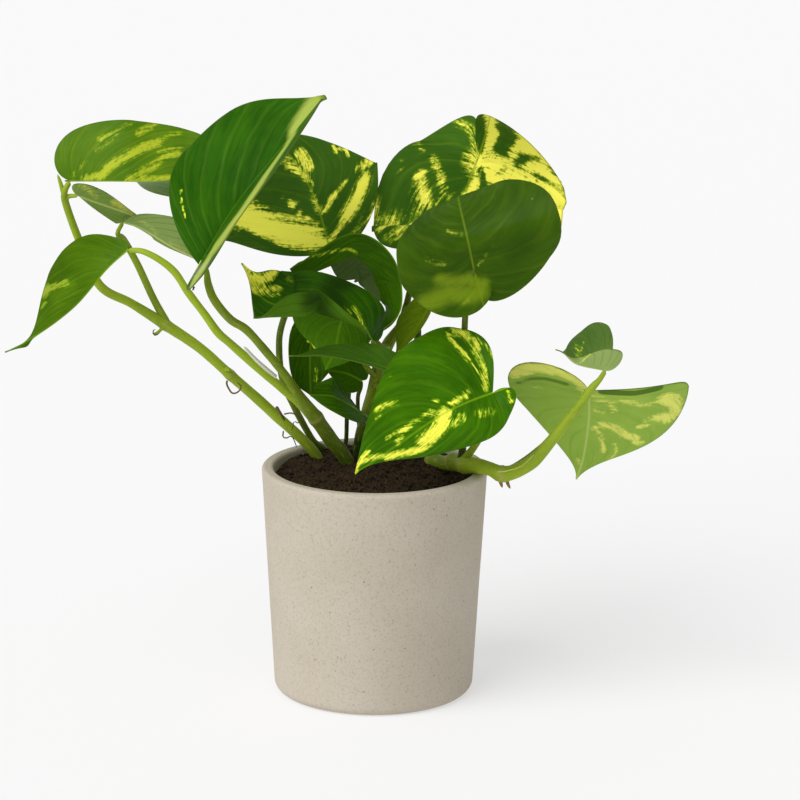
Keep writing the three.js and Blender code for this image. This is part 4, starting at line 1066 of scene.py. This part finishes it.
for name, stem in stems.items():
    parts = []
    for branch in stem["branches"]:
        points = [list(point) for point in branch["points"]]
        if "leaf" in branch:
            points.append(stalkEnd(leaves[branch["leaf"]], branch.get("front", False), points[-1][3] * 0.8))
        part, faces, own = tubePoints(points, branch.get("nodes", ()))
        # Painted shade low in the pot, added to the branch's darkness.
        low = 1 - smooth(part[:, 2], *shadeNearSoil["height"])
        inside = 1 - smooth(np.hypot(part[:, 0], part[:, 1]), *shadeNearSoil["reach"])
        own["darkAndShaded"] = branch.get("darkAndShaded", stem["darkAndShaded"]) + shadeNearSoil["darkAndShaded"] * (low * inside)
        own["dry"] = np.full(len(part), branch.get("dry", 0.0))
        parts.append((part, faces, own))
    points, faces, layers = joinParts(parts)
    finish = stemFinish(name + "Finish", tone(148, 172, 34), tone(40, 58, 6), tone(188, 202, 84))
    makePiece(name.replace("stem", "vine"), points, faces, finish, replaces=name, layers=layers)
print("stems:", len(stems))


# Small growth on the stems: curled roots, a bud, a dry sheath and torn strips, each a thin tapering tube.
rootlets = {
    "curlLeft": {
        "radius": 0.55,
        "points": [
            (-119, 21, 209.5), (-123.4, 21, 207.7), (-125.6, 20, 205.2), (-127.8, 18, 205),
            (-128.3, 18, 207.4), (-126.7, 19, 208.3),
        ],
    },
    "ring": {
        "radius": 0.6,
        "points": [
            (-86.2, 25, 176.5), (-86.2, 24, 174.2), (-83, 18, 170.9), (-79.4, 16, 172), (-77.6, 17, 175),
            (-80.5, 22, 176.5),
        ],
    },
    "bud": {
        "radius": 1.0,
        "points": [(-57, 19, 162), (-55.6, 14, 161.3), (-54.4, 13, 159.8), (-52.2, 15, 155.1)],
    },
    "curlMiddle": {
        "radius": 0.45,
        "points": [
            (-52.5, 14, 159.5), (-48.6, 12, 160.7), (-45.7, 11, 159.8), (-43.4, 12, 157.1),
            (-44.6, 12, 154.7), (-46.9, 12, 155.9), (-47.4, 12, 152.9), (-48.6, 12, 149.9),
        ],
    },
    "curlLow": {
        "radius": 0.45,
        "points": [
            (-53.6, 26, 146), (-53.6, 22, 143.7), (-51.3, 21, 143.4), (-48.9, 21, 144.6),
            (-47.2, 21, 142.2), (-45.5, 22, 137.1),
        ],
    },
    "thread": {"radius": 0.35, "points": [(-17.4, 30, 153.4), (-17.4, 32, 146.8), (-17.4, 33, 141.1)]},
    "sheath": {
        "radius": 1.5, "papery": True,
        "points": [(-57, -3.5, 185.8), (-62.5, -6.5, 191.5), (-68.5, -9.5, 198), (-74.5, -12.5, 205.5)],
    },
    "fold": {
        "radius": 0.5, "pale": True,
        "points": [(70, -31, 138), (76, -31.2, 138.8), (84, -29.6, 141.4), (91, -27, 147.5)],
    },
    "strip": {
        "radius": 0.9, "pale": True,
        "points": [(-96.5, -30.5, 258.5), (-99, -30.5, 254), (-101.5, -29.5, 249.5), (-102.8, -29, 246)],
    },
    "stripTip": {"radius": 0.8, "black": True, "points": [(-102.8, -29, 246.2), (-103.3, -29, 243.8)]},
    "stripTwin": {"radius": 0.6, "black": True, "points": [(-101.2, -29, 243.5), (-102, -29, 241.2)]},
}


def rootletFinish():
    kit = Finish("rootletFinish")
    clouds = kit.noise(kit.place(), 300.0, 3.0)
    colour = kit.mix(clouds, tone(60, 46, 20), tone(104, 84, 42))
    colour = kit.mix(kit.attribute("papery"), colour, tone(222, 222, 206))
    colour = kit.mix(kit.attribute("pale"), colour, tone(186, 196, 84))
    colour = kit.mix(kit.attribute("black"), colour, tone(18, 14, 8))
    return kit.wear(Base_Color=colour, Roughness=0.7)


def makeRootlets():
    parts = []
    for rootlet in rootlets.values():
        count = len(rootlet["points"])
        taper = np.linspace(1, 0.6, count) * rootlet["radius"]
        part, faces, own = tubePoints([[*place, radius] for place, radius in zip(rootlet["points"], taper)])
        for kind in ("pale", "papery", "black"):
            own[kind] = np.full(len(part), float(kind in rootlet))
        parts.append((part, faces, own))
    points, faces, layers = joinParts(parts)
    makePiece("rootlets", points, faces, rootletFinish(), layers=layers)


makeRootlets()


pot = {
    "height": 133, "rim": 65, "foot": 58, "wall": 7, "floor": 9, "lip": 2.2, "footRound": 5, "facets": 160,
    "uneven": 0.14,
}


# Points of a profile on an arc, as (radius, height).
def arc(centre, height, radius, start, end, steps=7):
    angles = np.radians(np.linspace(start, end, steps))
    return np.stack([centre + radius * np.cos(angles), height + radius * np.sin(angles)], -1)


# Points between two ends, without the ends.
def line(start, end, steps):
    return np.linspace(start, end, steps + 2)[1:-1]


# The outside narrows evenly to the foot, and the inside is a wall's thickness smaller.
def innerRadius(height):
    return pot["foot"] + (pot["rim"] - pot["foot"]) * height / pot["height"] - pot["wall"]


# A closed turned body: the profile runs from the axis under the body to the axis above it, or inside it.
def turned(profile, facets):
    angle = np.linspace(0, 2 * np.pi, facets, endpoint=False)
    middle = profile[1:-1]
    ring = np.stack([
        middle[:, :1] * np.cos(angle), middle[:, :1] * np.sin(angle), np.repeat(middle[:, 1:], facets, 1),
    ], -1)
    points = np.concatenate([ring.reshape(-1, 3), [[0, 0, profile[0, 1]], [0, 0, profile[-1, 1]]]])
    rows = len(middle)
    first = np.arange(facets)
    after = np.roll(first, -1)
    faces = gridFaces(rows, facets, wrap=True).tolist()
    faces += np.stack([after, first, first * 0 + rows * facets], -1).tolist()
    last = (rows - 1) * facets
    faces += np.stack([last + first, last + after, first * 0 + rows * facets + 1], -1).tolist()
    return points, faces


def potFinish():
    kit = Finish("stonewareFinish")
    place = kit.place()
    clouds = kit.noise(place, 22.0, 4.0)
    grain = kit.noise(place, 700.0, 3.0, 0.7)
    colour = kit.mix(clouds, tone(194, 185, 170), tone(176, 165, 147))
    colour = kit.mix(kit.step(grain, 0.45, 0.75) * 0.35, colour, tone(140, 127, 108))

    def pores(scale, size, seed):
        shift = (seed, 0.3 * seed, 0.7 * seed)
        moved = kit.node("ShaderNodeVectorMath", {"operation": "ADD"}, {0: place, 1: shift})
        cells = kit.node("ShaderNodeTexVoronoi", None, {"Vector": moved, "Scale": scale, "Randomness": 1.0})
        chance = kit.step(kit.noise(moved, scale * 0.6, 1.0), 0.5, 0.66)
        return (1 - kit.step(cells, size * 0.55, size)) * chance

    small, large = pores(900.0, 0.3, 1.0), pores(210.0, 0.11, 4.0)
    dark = small.math("MAXIMUM", small * 0.6, large)
    colour = kit.mix(dark * 0.8, colour, tone(92, 80, 64))
    height = grain * 0.25 - dark + clouds * 0.4
    normal = kit.bump(height, 0.0006, 0.6)
    return kit.wear(Base_Color=colour, Roughness=0.82 + grain * 0.1, Normal=normal)


def makePot():
    lip, foot, top = pot["lip"], pot["footRound"], pot["height"]
    innerTop = innerRadius(top)
    outerFoot = np.array([pot["foot"], foot])
    outerTop = np.array([pot["rim"], top - lip])
    innerLow = np.array([innerRadius(pot["floor"]), pot["floor"]])
    profile = np.concatenate([
        [[0, 0]], line(np.array([0, 0]), np.array([pot["foot"] - foot, 0]), 4),
        arc(pot["foot"] - foot, foot, foot, -90, 0), line(outerFoot, outerTop, 40),
        arc(pot["rim"] - lip, top - lip, lip, 0, 90), arc(innerTop + lip, top - lip, lip, 90, 180),
        line(np.array([innerTop, top - lip]), innerLow, 20), [innerLow],
        line(innerLow, np.array([0, pot["floor"]]), 4), [[0, pot["floor"]]],
    ])
    points, faces = turned(profile, pot["facets"])
    uneven = pot["uneven"] * ripple(points, 42, 11) * smooth(points[:, 2], 2, 20)
    uneven = uneven * (1 - smooth(points[:, 2], 118, 131))
    reach =np.linalg.norm(points[:, :2], axis=1, keepdims=True)
    points[:, :2] += np.minimum(uneven, 0)[:, None] * points[:, :2] / np.maximum(reach, 1)
    makePiece("stonewarePot", points, faces, potFinish(), replaces="pot", sharp=60)


makePot()

soil = {
    "edgeDrop": 7, "mound": 3.5, "gap": 0.3, "backRise": 4.5, "rings": 70, "facets": 200,
    "crumbs": 2600, "crumbSizes": (0.35, 1.3), "crumbInset": 1.5, "seed": 5, "settled": 0.6,
    "ripples": [(0.7, 17, 21), (0.45, 6, 22), (0.3, 2.4, 23)],
}


# A mound that falls off with the square of the distance from the axis, a rise to the back, and unevenness.
def soilHeight(places):
    edge = pot["height"] - soil["edgeDrop"]
    reach = np.linalg.norm(places, axis=-1) / innerRadius(edge)
    mound = edge + soil["mound"] * (1 - reach**2)
    mound = mound + soil["backRise"] * smooth(places[..., 1], -15, 52)
    for height, size, seed in soil["ripples"]:
        mound = mound + height * ripple(places, size, seed)
    return mound - soil["settled"]


def soilFinish():
    kit = Finish("soilFinish")
    place = kit.place()
    clouds, grain = kit.noise(place, 90.0, 4.0), kit.noise(place, 800.0, 4.0, 0.7)
    tint = kit.attribute("tint")
    pale = kit.step(clouds * 0.4 + grain * 0.7 + tint * 0.6, 0.45, 1.0)
    colour = kit.mix(pale, tone(8, 6, 3), tone(62, 45, 23))
    fibres = kit.step(kit.noise(place, 1500.0, 1.0), 0.62, 0.7)
    colour = kit.mix(fibres * 0.35, colour, tone(112, 90, 62))
    normal = kit.bump(grain + clouds, 0.0012, 0.8)
    return kit.wear(Base_Color=colour, Roughness=0.93, Normal=normal, Specular_IOR_Level=0.2)


def makeSoil():
    low = pot["floor"] + soil["gap"]
    edge = pot["height"] - soil["edgeDrop"]
    edgeRadius = innerRadius(edge) - soil["gap"]
    rings, facets = soil["rings"], soil["facets"]
    shares = np.linspace(1, 0, rings + 1)
    top = np.stack([edgeRadius * shares, 0 * shares + edge], -1)
    lowRadius = innerRadius(low) - soil["gap"]
    wall = line(np.array([lowRadius, low]), top[0], 6)
    profile = np.concatenate([[[0, low], [lowRadius, low]], wall, top])
    points, faces = turned(profile, facets)
    layer = np.arange(len(points)) >= (len(profile) - 2 - rings) * facets
    layer[-2:] = [False, True]
    raised = soilHeight(points[:, :2])
    points[:, 2] = np.where(layer, raised, points[:, 2])
    finish = soilFinish()
    body = {"tint": 0.3 + 0 * points[:, 2]}
    makePiece("soilBed", points, faces, finish, replaces="soil", layers=body, sharp=80)
    return finish, edgeRadius


# Crumbs of the potting mix: one uneven twelve-cornered lump, copied with its own size, turn and place.
def makeCrumbs(finish, edgeRadius):
    draw = np.random.default_rng(soil["seed"])
    golden = (1 + math.sqrt(5)) / 2
    lump = []
    for a in (-1, 1):
        for b in (-golden, golden):
            lump += [[0, a, b], [a, b, 0], [b, 0, a]]
    lump = unit(np.array(lump, float))
    gaps = np.linalg.norm(lump[:, None] - lump[None], axis=-1)
    near = (gaps > 0.1) & (gaps < 1.2)
    faces = []
    for a in range(12):
        for b in range(a + 1, 12):
            for c in range(b + 1, 12):
                if near[a, b] and near[b, c] and near[a, c]:
                    out = np.dot(np.cross(lump[b] - lump[a], lump[c] - lump[a]), lump[a]) > 0
                    faces.append([a, b, c] if out else [a, c, b])
    faces = np.array(faces)
    count = soil["crumbs"]
    sizes = draw.uniform(0, 1, count) ** 3
    sizes = soil["crumbSizes"][0] + sizes * (soil["crumbSizes"][1] - soil["crumbSizes"][0])
    reach = (edgeRadius - soil["crumbInset"]) * np.sqrt(draw.uniform(0, 1, count))
    angle = draw.uniform(0, 2 * np.pi, count)
    places = np.stack([reach * np.cos(angle), reach * np.sin(angle)], -1)
    seat = np.concatenate([places, (soilHeight(places) + sizes * 0.25)[:, None]], -1)
    turns, _ = np.linalg.qr(draw.normal(size=(count, 3, 3)))
    turns *= np.sign(np.linalg.det(turns))[:, None, None]
    stretch = draw.uniform(0.55, 1.35, (count, 1, 3))
    bumps = draw.uniform(0.78, 1.15, (count, 12, 1))
    points = np.einsum("nij,nkj->nki", turns, lump[None] * stretch * bumps)
    points = (points * sizes[:, None, None] + seat[:, None]).reshape(-1, 3)
    triangles = (faces[None] + 12 * np.arange(count)[:, None, None]).reshape(-1, 3)
    layers = {"tint": np.repeat(draw.uniform(-0.2, 1.1, count), 12)}
    makePiece("soilCrumbs", points, triangles, finish, layers=layers, sharp=30)


makeCrumbs(*makeSoil())
print("pot and soil")


# The camera's place is in millimetres, its turns in degrees. The floor's extents are in metres.
view = {
    "camera": (14.4, -1732.8, 601.0), "down": 13.91, "roll": 0.40, "lens": 140, "sensor": 36,
}
studio = {
    "sky": 0.54, "sun": 2.4, "softness": 50, "from": (-0.62, -0.55, 0.8), "floor": 0.42, "glow": 0.485,
    "floorSide": 9.0, "floorNear": -3, "floorFar": 14,
}


def makeFloor():
    mesh = bpy.data.meshes.new("floor")
    side, near, far = studio["floorSide"], studio["floorNear"], studio["floorFar"]
    mesh.from_pydata([(-side, near, 0), (side, near, 0), (side, far, 0), (-side, far, 0)], [], [(0, 1, 2, 3)])
    kit = Finish("floorFinish")
    shade = (studio["floor"], studio["floor"], studio["floor"], 1)
    kit.wear(Base_Color=shade, Roughness=0.9, Emission_Color=(1, 1, 1, 1), Emission_Strength=studio["glow"])
    mesh.materials.append(kit.material)
    floor = bpy.data.objects.new("floor", mesh)
    bpy.context.scene.collection.objects.link(floor)


# The key light is a wide sun, so that the shadows stay soft and the floor is evenly lit as far as it shows.
def makeSun():
    light = bpy.data.lights.new("key", "SUN")
    light.energy = studio["sun"]
    light.angle = math.radians(studio["softness"])
    lamp = bpy.data.objects.new("key", light)
    lamp.rotation_euler = (-Vector(studio["from"])).to_track_quat("-Z", "Y").to_euler()
    bpy.context.scene.collection.objects.link(lamp)


def makeWorld():
    world = bpy.data.worlds.new("studio")
    world.use_nodes = True
    sky = world.node_tree.nodes["Background"]
    sky.inputs["Color"].default_value = (1, 1, 1, 1)
    sky.inputs["Strength"].default_value = studio["sky"]
    bpy.context.scene.world = world
    bpy.context.scene.view_settings.view_transform = "Standard"


def makeCamera():
    camera = bpy.data.cameras.new("camera")
    camera.lens = view["lens"]
    camera.sensor_width = view["sensor"]
    camera.clip_end = 50
    eye = bpy.data.objects.new("camera", camera)
    down = math.radians(view["down"])
    right = Vector((1, 0, 0))
    up = Vector((0, math.sin(down), math.cos(down)))
    back = right.cross(up)
    turn = Matrix((right, up, back)).transposed().to_4x4()
    turn = turn @ Matrix.Rotation(math.radians(view["roll"]), 4, "Z")
    eye.matrix_world = Matrix.Translation(Vector(view["camera"]) * mm) @ turn
    bpy.context.scene.collection.objects.link(eye)
    bpy.context.scene.camera = eye


makeFloor()
makeWorld()
makeSun()
makeCamera()
